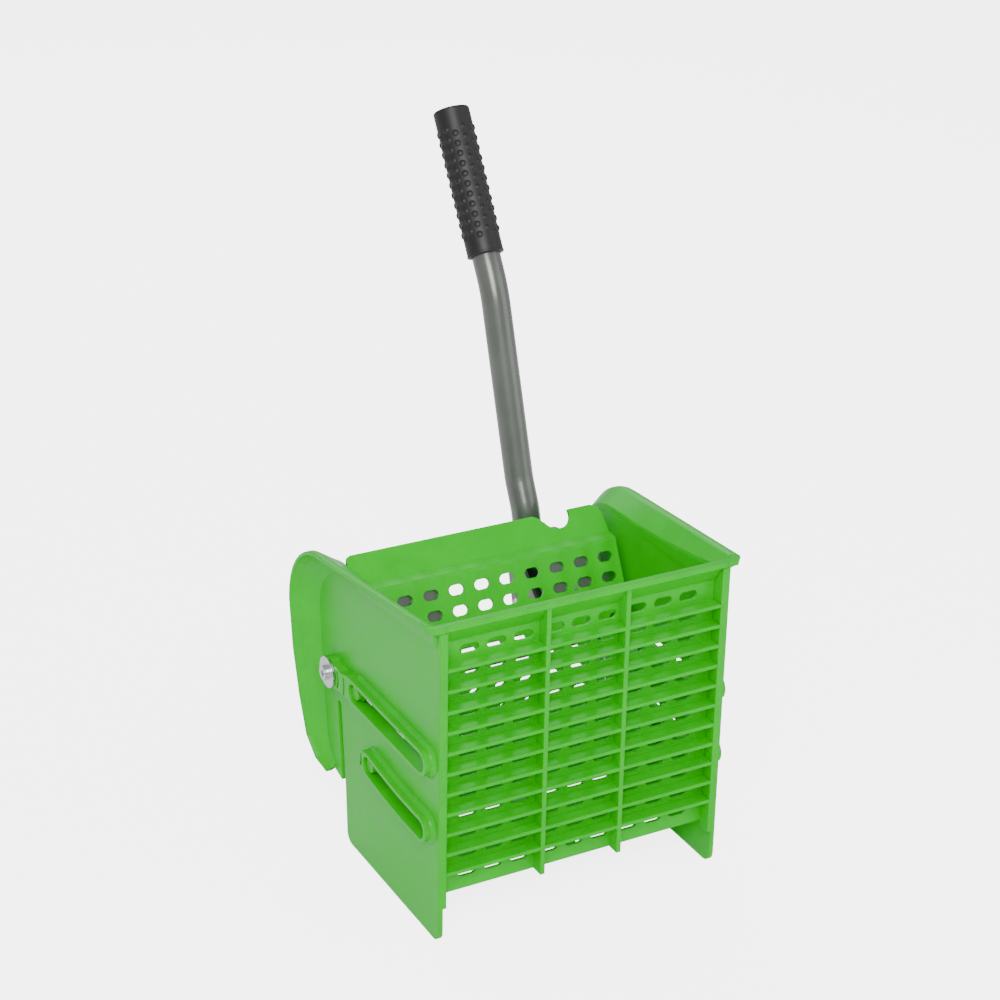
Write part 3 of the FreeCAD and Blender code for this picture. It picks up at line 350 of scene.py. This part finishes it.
@dataclass(frozen=True)
class ZincPlatedSteel:
    """Bright zinc plate on turned steel: pale, a little blue, with cloudy spangle and fine scratches."""

    name: str = "zinc_plated_steel"
    colour: str = "D9DBDD"
    cloud: str = "B9BCC0"
    spangle_mm: float = 3.5

    def make(self) -> bpy.types.Material:
        """Build the material: metal whose colour and roughness follow spangle cells and wide clouds."""
        material, tree, place = start_material(self.name)
        cells = add_node(tree, "ShaderNodeTexVoronoi", {"Scale": 1 / (self.spangle_mm * MM)},
                         {"Vector": place})
        scratch = add_node(tree, "ShaderNodeTexNoise", {"Scale": 900.0, "Detail": 2.0}, {"Vector": place})
        grey = add_node(tree, "ShaderNodeRGBToBW", {}, {"Color": cells.outputs["Color"]})
        tint = add_node(tree, "ShaderNodeValToRGB", {}, {"Fac": grey.outputs[0]})
        two_tones(tint, self.cloud, self.colour)
        gloss = add_node(tree, "ShaderNodeMapRange", {"To Min": 0.22, "To Max": 0.38},
                         {"Value": grey.outputs[0]})
        edges = add_node(tree, "ShaderNodeBevel", {"samples": 4, "Radius": 0.3 * MM})
        bump = add_node(tree, "ShaderNodeBump", {"Strength": 0.06, "Distance": 0.03 * MM},
                        {"Height": scratch.outputs["Fac"], "Normal": edges.outputs[0]})
        shader = add_node(tree, "ShaderNodeBsdfPrincipled", {"Metallic": 1.0},
                          {"Base Color": tint.outputs[0], "Roughness": gloss.outputs[0],
                           "Normal": bump.outputs[0]})
        add_node(tree, "ShaderNodeOutputMaterial", {}, {"Surface": shader.outputs[0]})
        return material


@dataclass(frozen=True)
class MouldedRubber:
    """Moulded black rubber: a low sheen that breaks up in fine pores, greyer where the mould was worn."""

    name: str = "moulded_black_rubber"
    colour: str = "050505"
    bloom: str = "080808"
    # Real pores are about 0.2 mm; they are drawn coarser so that they show.
    pore_mm: float = 0.9

    def make(self) -> bpy.types.Material:
        """Build the material: near-black with a pale bloom by wide noise, and a pore bump."""
        material, tree, place = start_material(self.name)
        wide = add_node(tree, "ShaderNodeTexNoise", {"Scale": 60.0, "Detail": 5.0}, {"Vector": place})
        pores = add_node(tree, "ShaderNodeTexNoise", {"Scale": 1 / (self.pore_mm * MM), "Detail": 2.0},
                         {"Vector": place})
        tint = add_node(tree, "ShaderNodeValToRGB", {}, {"Fac": wide.outputs["Fac"]})
        two_tones(tint, self.colour, self.bloom, (0.35, 0.7))
        gloss = add_node(tree, "ShaderNodeMapRange", {"To Min": 0.42, "To Max": 0.58},
                         {"Value": wide.outputs["Fac"]})
        bump = add_node(tree, "ShaderNodeBump", {"Strength": 0.22, "Distance": 0.08 * MM},
                        {"Height": pores.outputs["Fac"]})
        shader = add_node(tree, "ShaderNodeBsdfPrincipled", {"IOR": 1.52},
                          {"Base Color": tint.outputs[0], "Roughness": gloss.outputs[0],
                           "Normal": bump.outputs[0]})
        add_node(tree, "ShaderNodeOutputMaterial", {}, {"Surface": shader.outputs[0]})
        return material


class Look(Enum):
    """The finishes of the wringer, by the record's material slot."""

    cage_plastic = MouldedPolypropylene("moulded_green_polypropylene")
    plate_plastic = MouldedPolypropylene("moulded_green_polypropylene_plate", colour="0CBC00",
                                         deep="0AB300", edge_radius_mm=0.6, roughness=0.33,
                                         flute_pitch_mm=23.6)
    guide_plastic = MouldedPolypropylene("moulded_green_guide_shoe", roughness=0.42, edge_radius_mm=0.5)
    bush_plastic = MouldedPolypropylene("moulded_natural_acetal", colour="E4E1D8", deep="D6D2C6",
                                        roughness=0.4, edge_radius_mm=0.4)
    zinc_steel = ZincPlatedSteel()
    painted_steel = PowderCoatedSteel()
    grip_rubber = MouldedRubber()


@dataclass
class Finishes:
    """Every finish made once, and put on each CAD node that has its slot."""

    made: dict[str, bpy.types.Material] = field(default_factory=dict)

    def __post_init__(self) -> None:
        """Make each look's material."""
        self.made = {look.name: look.value.make() for look in Look}

    def dress_frame(self) -> None:
        """Put each CAD node's own finish on it."""
        for part in frame["record"]["subparts"]:
            mesh = frame["nodes"][part["node"]].data
            mesh.materials.clear()
            mesh.materials.append(self.made[part["material_slot"]])


# ---------------------------------------------------------------- cage

@dataclass
class Wing:
    """A cheek's turned-out edge, as one smooth shell with a rolled lip, over the plain CAD flare.

    Its stations run along the top of the cheek, round its back corner and down its ear.
    """

    side: int
    inner: float = 125.0
    wall: float = 4.0
    crease: float = 256.0
    round: float = 54.0
    flare_front: float = 8.0
    flare_back: float = 16.5
    rise_front: float = 26.0
    rise_back: float = 11.0
    ear_foot: float = 54.0
    lip: float = 2.4
    depth_back: float = 229.0
    start: float = 4.2
    curl_front: float = 7.0
    curl_back: float = 2.0
    top_stations: int = 25

    def stations(self, offset: float) -> tuple[np.ndarray, np.ndarray, np.ndarray, np.ndarray]:
        """Work out the edge in the side view.

        A straight top, a quarter circle of the corner's radius, then a line that leans slightly
        forward and curls in at the foot; the flare grows along the top and fades down the ear.

        Args:
            offset: How far the grille's front lies behind the frame's origin.

        Returns:
            Places, outward directions, flare and rise, one row for each station.
        """
        level, low = self.depth_back - self.round, self.ear_foot + 26
        share = np.linspace(0, 1, self.top_stations + 1)[:-1]
        top = np.stack([self.start + (level - self.start) * share, np.full_like(share, self.crease)], -1)
        angle = np.radians(np.linspace(90, 0, 37))
        arc_away = np.stack([np.cos(angle), np.sin(angle)], -1)
        arc = np.array([level, self.crease - self.round]) + self.round * arc_away
        knots = np.array([0.0, 0.35, 0.7, 1.0, 1.2, 1.34])
        fall = self.crease - self.round - low
        down_y = np.array([0, 14 * 0.35 ** 1.5, 14 * 0.7 ** 1.5, 14, 22, 34.0])
        down_z = np.array([0, 0.35 * fall, 0.7 * fall, fall, fall + 15, fall + 22.0])
        away_angle = np.radians(np.array([0, -9.8, -9.8, -9.8, -41.3, -69.6]))
        fade = np.array([1, 0.957, 0.83, 0.65, 0.45, 0.28])
        fine = np.linspace(0, 1.34, 42)[1:]
        down = np.stack([self.depth_back - np.interp(fine, knots, down_y),
                         self.crease - self.round - np.interp(fine, knots, down_z)], -1)
        turn = np.interp(fine, knots, away_angle)
        places = np.concatenate([top, arc, down])
        away = np.concatenate([np.tile([0.0, 1.0], (len(top), 1)), arc_away,
                               np.stack([np.cos(turn), np.sin(turn)], -1)])
        flare = np.concatenate([self.flare_front + (self.flare_back - self.flare_front) * share,
                                np.full(len(arc), self.flare_back),
                                np.interp(fine, knots, self.flare_back * fade)])
        rise = np.concatenate([self.rise_front + (self.rise_back - self.rise_front) * share,
                               np.full(len(arc), self.rise_back),
                               np.interp(fine, knots, [11, 10, 9.1, 8.25, 7.0, 4.0])])
        places[:, 0] += offset
        return places, away, flare, rise

    def curl(self, count: int) -> np.ndarray:
        """Give each station's power, which falls from the front value to the back one along the top.

        Args:
            count: Number of stations.

        Returns:
            A column of powers.
        """
        share = np.clip(np.arange(count) / self.top_stations, 0, 1)
        return (self.curl_front + (self.curl_back - self.curl_front) * share)[:, None]

    def surface(self, offset: float) -> np.ndarray:
        """Work out the shell: at each station a closed section in X and the distance beyond the crease.

        Its outside swings out from the cheek's face as a power of the distance, steeper near the
        front, its edge is a half-round lip, and its inside follows a wall's thickness away.

        Args:
            offset: How far the grille's front lies behind the frame's origin.

        Returns:
            An array of stations by section points by three.
        """
        places, away, flare, rise = self.stations(offset)
        t = np.linspace(0, 1, 13)[None, :]
        flare, rise = flare[:, None], rise[:, None]
        reach = 0.8 * rise + 5
        beyond = -reach + (rise - self.lip + reach) * t
        power = self.curl(len(places))
        out = self.inner + self.wall - 0.35 + (flare + 0.45) * t ** power
        turn = np.radians(np.linspace(-80, 90, 8))[None, :]
        lip_x = out[:, -1:] + 1.0 + self.lip * 0.5 * np.cos(turn)
        lip_b = rise - self.lip * 0.5 + (self.lip * 0.5 + 0.2) * np.sin(turn)
        back = np.linspace(1, 0, 13)[None, :]
        inside_b = -6 + (rise + 6.2) * back
        straightness = (power - self.curl_back) / (self.curl_front - self.curl_back)
        upright = np.clip(rise - self.flare_front, 0, None) * np.clip(straightness, 0, 1)
        open_share = np.clip((inside_b - upright + 0.5) / (rise - upright + 0.5), 0, None)
        inside_x = self.inner - 0.25 + (flare + self.wall - 2.9) * open_share
        x = np.concatenate([out, lip_x, inside_x], 1)
        b = np.concatenate([beyond, lip_b, inside_b], 1)
        y = places[:, :1] + away[:, :1] * b
        z = places[:, 1:] + away[:, 1:] * b
        return np.stack([self.side * x, y, z], -1)

    def build(self, offset: float, finishes: Finishes) -> None:
        """Make the shell on its side of the cage.

        Args:
            offset: How far the grille's front lies behind the frame's origin.
            finishes: The finishes made.
        """
        rings = self.surface(offset)
        rows, columns = rings.shape[:2]
        faces = [grid_faces(rows, columns, False, True),
                 np.arange(columns)[None, ::-1], (np.arange(columns) + (rows - 1) * columns)[None, :]]
        name = "wing_right" if self.side > 0 else "wing_left"
        add_piece(name, rings.reshape(-1, 3), faces, "frame",
                  finishes.made["cage_plastic"])


@dataclass
class RimRoll:
    """The rounded roll along the front rim and round its two corners."""

    half_width: float = 137.4
    height: float = 279.3
    radius: float = 2.9
    corner: float = 13.0
    front: float = 0.05
    section_points: int = 20
    back: float = 14.0

    def build(self, offset: float, finishes: Finishes) -> None:
        """Sweep a slightly tall oval along a line with two rounded corners.

        Args:
            offset: How far the grille's front lies behind the frame's origin.
            finishes: The finishes made.
        """
        angle = np.radians(np.linspace(180, 270, 13))
        left = np.stack([-self.half_width + self.corner + self.corner * np.cos(angle),
                         self.front + self.corner + self.corner * np.sin(angle)], -1)
        right = left[::-1] * [-1, 1]
        flat = np.concatenate([[[-self.half_width, self.back]], left, right,
                               [[self.half_width, self.back]]])
        path = np.column_stack([flat[:, 0], flat[:, 1] + offset, np.full(len(flat), self.height)])
        ahead = np.gradient(path, axis=0)
        ahead /= np.linalg.norm(ahead, axis=1, keepdims=True)
        side = np.stack([ahead[:, 1], -ahead[:, 0], np.zeros(len(path))], -1)
        up = np.tile([0.0, 0.0, 1.0], (len(path), 1))
        profile = circle(1.0, self.section_points) * [self.radius * 0.8, self.radius]
        points = swept(path, side, up, profile)
        first = np.arange(self.section_points)[None, :]
        last = first + (len(path) - 1) * self.section_points
        faces = [grid_faces(len(path), self.section_points, False, True), first[:, ::-1], last]
        add_piece("front_rim_roll", points, faces, "frame", finishes.made["cage_plastic"])


@dataclass
class SlotFillet:
    """The moulded fillet between a cheek's face and the raised ring of a guide slot."""

    side: int
    name: str
    route: np.ndarray
    ring: float = 11.5
    radius: float = 3.6
    face: float = 129.0

    def build(self, offset: float, finishes: Finishes) -> None:
        """Sweep a hollow quarter-round round the outline that lies one ring's radius from the route.

        Args:
            offset: How far the grille's front lies behind the frame's origin.
            finishes: The finishes made.
        """
        ahead = np.gradient(self.route, axis=0)
        ahead /= np.linalg.norm(ahead, axis=1, keepdims=True)
        normal = np.stack([-ahead[:, 1], ahead[:, 0]], -1)
        half_turn = np.radians(np.linspace(0, -180, 21))[1:-1]
        front_angle = math.atan2(normal[-1, 1], normal[-1, 0]) + half_turn
        rear_angle = math.atan2(-normal[0, 1], -normal[0, 0]) + half_turn
        away = np.concatenate([normal, np.stack([np.cos(front_angle), np.sin(front_angle)], -1),
                               -normal[::-1], np.stack([np.cos(rear_angle), np.sin(rear_angle)], -1)])
        centre = np.concatenate([self.route, np.tile(self.route[-1], (len(half_turn), 1)),
                                 self.route[::-1], np.tile(self.route[0], (len(half_turn), 1))])
        outline = centre + away * self.ring
        path = np.column_stack([np.full(len(outline), self.side * self.face),
                                outline[:, 0] + offset, outline[:, 1]])
        side = np.column_stack([np.zeros(len(away)), away])
        up = np.tile([float(self.side), 0.0, 0.0], (len(path), 1))
        turn = np.radians(np.linspace(180, 270, 8))
        hollow = self.radius * np.stack([1 + np.cos(turn), 1 + np.sin(turn)], -1)
        profile = np.concatenate([[[-0.6, -0.4], [-0.6, self.radius]], hollow, [[self.radius, -0.4]]])
        points = swept(path, side, up, profile)
        add_piece(self.name, points, [grid_faces(len(path), len(profile), True, True)], "frame",
                  finishes.made["cage_plastic"])


@dataclass
class Cage:
    """The green cage: its wings, rim and slot rings over the CAD mouldings."""

    ribs_face: float
    pin: tuple[float, float] = (139.0, 158.0)
    travel: float = 106.0
    spacing: float = 60.0
    lean: float = 26.0
    slot_front: float = 19.5

    def lower_route(self) -> np.ndarray:
        """Give the lower guide pin's centres: the upper pin's place less the turned pin spacing."""
        share = np.linspace(0, 1, 7)
        lean = np.radians(self.lean * (1 - share))
        route = np.stack([self.pin[0] - self.travel * share - self.spacing * np.sin(lean),
                          self.pin[1] - self.spacing * np.cos(lean)], -1)
        return np.concatenate([route, [[self.slot_front, route[-1, 1]]]])

    def build(self, finishes: Finishes) -> None:
        """Make the wings, the rim's roll and the four slot fillets.

        Args:
            finishes: The finishes made.
        """
        along = np.linspace(self.pin[0], self.slot_front, 6)
        upper = np.stack([along, np.full(len(along), self.pin[1])], -1)
        RimRoll().build(self.ribs_face, finishes)
        for side, word in ((-1, "left"), (1, "right")):
            Wing(side).build(self.ribs_face, finishes)
            SlotFillet(side, "upper_slot_fillet_" + word, upper).build(self.ribs_face, finishes)
            SlotFillet(side, "lower_slot_fillet_" + word, self.lower_route()).build(self.ribs_face,
                                                                                    finishes)


# ---------------------------------------------------------------- lever

@dataclass
class Handle:
    """Bent tube and rubber grip of the lever."""

    place: float = 76.0
    foot: tuple[float, float] = (27.0, -9.0)
    runs: tuple[float, ...] = (96.0, 26.0, 165.0, 157.0)
    leans: tuple[float, ...] = (16.6, 27.0, 17.9, 31.4)
    bends: tuple[float, ...] = (60.0, 60.0, 120.0)
    tube: float = 12.5
    wall: float = 1.5
    grip: float = 15.9
    grip_length: float = 130.0
    cap: float = 4.0
    bump_rows: int = 12
    bumps_in_row: int = 11
    bump_pitch: float = 9.0
    bump_size: float = 2.6
    bump_height: float = 1.1
    first_bump: float = 16.0
    tube_points: int = 72
    grip_points: int = 264

    def corners(self) -> np.ndarray:
        """Give the tube's corners in the side view, each a run further along its lean."""
        angle = np.radians(self.leans)
        steps = np.stack([np.array(self.runs) * np.sin(angle), np.array(self.runs) * np.cos(angle)], -1)
        start = joint_place("lever_pivot")[1:] + np.array(self.foot)
        return np.concatenate([start[None], start + np.cumsum(steps, 0)])

    def centre_line(self) -> np.ndarray:
        """Give the tube's centre line: straight runs joined by arcs that touch both runs."""
        corners = self.corners()
        parts = [corners[:1]]
        for before, corner, after, radius in zip(corners, corners[1:], corners[2:], self.bends):
            inward = (before - corner) / np.linalg.norm(before - corner)
            outward = (after - corner) / np.linalg.norm(after - corner)
            half = (math.pi - math.acos(float(inward @ outward))) / 2
            middle = (inward + outward) / np.linalg.norm(inward + outward)
            centre = corner + middle * radius / math.cos(half)
            swing = np.linspace(-half, half, 17)[:, None]
            across = (outward - inward) / np.linalg.norm(outward - inward)
            parts.append(centre - middle * radius * np.cos(swing) + across * radius * np.sin(swing))
        parts.append(corners[-1:])
        return np.concatenate(parts)

    def build_tube(self, finishes: Finishes) -> None:
        """Sweep the tube's wall: rings outside up the line, then rings inside back down it.

        Args:
            finishes: The finishes made.
        """
        line = self.centre_line()
        ahead = np.gradient(line, axis=0)
        ahead /= np.linalg.norm(ahead, axis=1, keepdims=True)
        path = np.column_stack([np.full(len(line), self.place), line])
        side = np.tile([1.0, 0.0, 0.0], (len(line), 1))
        up = np.column_stack([np.zeros(len(line)), -ahead[:, 1], ahead[:, 0]])
        outside = swept(path, side, up, circle(self.tube, self.tube_points))
        inside = swept(path[::-1], side, up[::-1], circle(self.tube - self.wall, self.tube_points))
        faces = [grid_faces(2 * len(line), self.tube_points, True, True)]
        add_piece("handle_tube_skin", np.concatenate([outside, inside]), faces, "lever",
                  finishes.made["painted_steel"], ("handle_tube",))

    def build_grip(self, finishes: Finishes) -> None:
        """Turn the grip's profile round the tube's top run, and raise round bumps from it.

        The radius is the profile's, plus a half-wave dome wherever a point lies within a bump's
        size of the nearest centre of a staggered lattice of rows.

        Args:
            finishes: The finishes made.
        """
        corners = self.corners()
        away = (corners[-1] - corners[-2]) / np.linalg.norm(corners[-1] - corners[-2])
        along = np.array([0.0, *away])
        across, upright = np.array([1.0, 0.0, 0.0]), np.array([0.0, -away[1], away[0]])
        top = np.array([self.place, *corners[-1]]) + along * self.cap
        body = np.linspace(3.0, self.grip_length - 2.5, 300)
        turn = np.radians(np.linspace(0, 90, 7))
        lip_s = [2.0, 1.5, 0.3, 0.0, 0.3, 1.4]
        lip_r = [0.0, self.tube + 0.15, self.tube + 0.5, self.grip - 0.4, self.grip + 0.3, self.grip + 0.25]
        s = np.concatenate([lip_s, body, self.grip_length - 2 + 2 * np.sin(turn)])
        r = np.concatenate([lip_r, np.full(len(body), self.grip), self.grip - 2 + 2 * np.cos(turn)])
        s, r = np.append(s, self.grip_length - 0.2), np.append(r, 0.0)
        angle = np.linspace(0, math.tau, self.grip_points, endpoint=False)
        row = angle[None, :] * self.bump_rows / math.tau
        stagger = (np.round(row).astype(int) % 2) * 0.5
        high = (s[:, None] - self.first_bump) / self.bump_pitch - stagger
        near = np.clip(np.round(high), 0, self.bumps_in_row - 1)
        off_row = (row - np.round(row)) * math.tau / self.bump_rows * self.grip
        off_line = (high - near) * self.bump_pitch
        gap = np.sqrt(off_row ** 2 + off_line ** 2) / self.bump_size
        dome = self.bump_height * np.where(gap < 1, np.sqrt(np.clip(1 - gap ** 2, 0, 1)), 0.0)
        radius = r[:, None] + np.where(r[:, None] >= self.grip - 0.01, dome, 0.0)
        spoke = np.cos(angle)[None, :, None] * across + np.sin(angle)[None, :, None] * upright
        points = (top - along * self.grip_length + s[:, None, None] * along
                  + radius[..., None] * spoke)
        inner = points[1:-1].reshape(-1, 3)
        rows, columns = len(s) - 2, self.grip_points
        foot_pole, top_pole = len(inner), len(inner) + 1
        ring = np.arange(columns)
        last = ring + (rows - 1) * columns
        foot = np.stack([np.full(columns, foot_pole), np.roll(ring, -1), ring], -1)
        crown = np.stack([np.full(columns, top_pole), last, np.roll(last, -1)], -1)
        points = np.concatenate([inner, points[0, :1], points[-1, :1]])
        faces = [grid_faces(rows, columns, False, True), foot, crown]
        add_piece("rubber_grip", points, faces, "lever", finishes.made["grip_rubber"],
                  ("handle_grip",))

    def build(self, finishes: Finishes) -> None:
        """Make the tube and the grip."""
        self.build_tube(finishes)
        self.build_grip(finishes)


# ---------------------------------------------------------------- studio

@dataclass
class Studio:
    """Pale floor, soft lights and the camera."""

    ribs_face: float
    eye: tuple[float, float, float] = (-835.1, -1376.6, 1088.8)
    ahead: tuple[float, float, float] = (0.43773, 0.79840, -0.41347)
    right: tuple[float, float, float] = (0.88027, -0.47420, 0.01625)
    down: tuple[float, float, float] = (-0.18309, -0.37108, -0.91037)
    lens: float = 84.53
    # The paper glows only as the camera sees it, so that it comes out pale and lights nothing.
    paper_glow: float = 4.0
    sky: float = 0.72

    def floor(self) -> None:
        """Lay a wide pale floor at the object's base."""
        half = 30.0
        corners = [(-half, -half, 0), (half, -half, 0), (half, half, 0), (-half, half, 0)]
        mesh = bpy.data.meshes.new("studio_floor")
        mesh.from_pydata(corners, [], [(0, 1, 2, 3)])
        piece = bpy.data.objects.new("studio_floor", mesh)
        material = bpy.data.materials.new("pale_studio_paper")
        material.use_nodes = True
        shader = material.node_tree.nodes["Principled BSDF"]
        shader.inputs["Base Color"].default_value = linear("FDFDFD")
        shader.inputs["Roughness"].default_value = 0.9
        tree = material.node_tree
        rays = add_node(tree, "ShaderNodeLightPath")
        glow = add_node(tree, "ShaderNodeMath", {"operation": "MULTIPLY", 1: self.paper_glow},
                        {0: rays.outputs["Is Camera Ray"]})
        shader.inputs["Emission Color"].default_value = linear("FFFFFF")
        tree.links.new(glow.outputs[0], shader.inputs["Emission Strength"])
        mesh.materials.append(material)
        bpy.context.scene.collection.objects.link(piece)

    def light(self, name: str, place: tuple[float, float, float], size: float, power: float) -> None:
        """Hang a square soft light that faces the object's middle.

        Args:
            name: The light's name.
            place: Where it hangs, in metres.
            size: Its edge in metres.
            power: Its power in watts.
        """
        lamp = bpy.data.lights.new(name, "AREA")
        lamp.size, lamp.energy = size, power
        thing = bpy.data.objects.new(name, lamp)
        thing.location = place
        thing.rotation_euler = (Vector((0, 0, 0.2)) - Vector(place)).to_track_quat("-Z", "Y").to_euler()
        bpy.context.scene.collection.objects.link(thing)

    def build(self) -> None:
        """Set the floor, the lights, the sky and the camera."""
        self.floor()
        self.light("key_light", (-1.1, -2.0, 2.0), 1.3, 74.0)
        self.light("fill_light", (1.9, -1.6, 1.2), 1.8, 16.0)
        self.light("back_light", (0.4, 2.2, 2.0), 1.8, 26.0)
        world = bpy.data.worlds.new("white_room")
        world.use_nodes = True
        world.node_tree.nodes["Background"].inputs["Color"].default_value = (1, 1, 1, 1)
        world.node_tree.nodes["Background"].inputs["Strength"].default_value = self.sky
        bpy.context.scene.world = world
        wanted = np.column_stack([self.right, -np.array(self.down), -np.array(self.ahead)])
        axes, _ = np.linalg.qr(wanted)
        signs = np.sign(np.sum(axes * wanted, 0))
        turn = Matrix((axes * signs).tolist()).to_4x4()
        camera = bpy.data.cameras.new("studio_camera")
        camera.lens, camera.sensor_width = self.lens, 36.0
        camera.clip_start, camera.clip_end = 0.05, 100.0
        thing = bpy.data.objects.new("studio_camera", camera)
        eye = Vector(self.eye) + Vector((0, self.ribs_face, 0))
        thing.matrix_world = Matrix.Translation(eye * MM) @ turn
        bpy.context.scene.collection.objects.link(thing)
        bpy.context.scene.camera = thing


# ---------------------------------------------------------------- the whole


def main() -> None:
    """Build the looks in order: finishes, cage, handle, studio."""
    logging.basicConfig(level=logging.INFO, format="%(name)s: %(message)s")
    ribs_face = float(joint_place("lever_pivot")[1]) - PIVOT_BEHIND_RIBS
    finishes = Finishes()
    finishes.dress_frame()
    Cage(ribs_face).build(finishes)
    Handle().build(finishes)
    Studio(ribs_face).build()


if __name__ == "__main__":
    main()
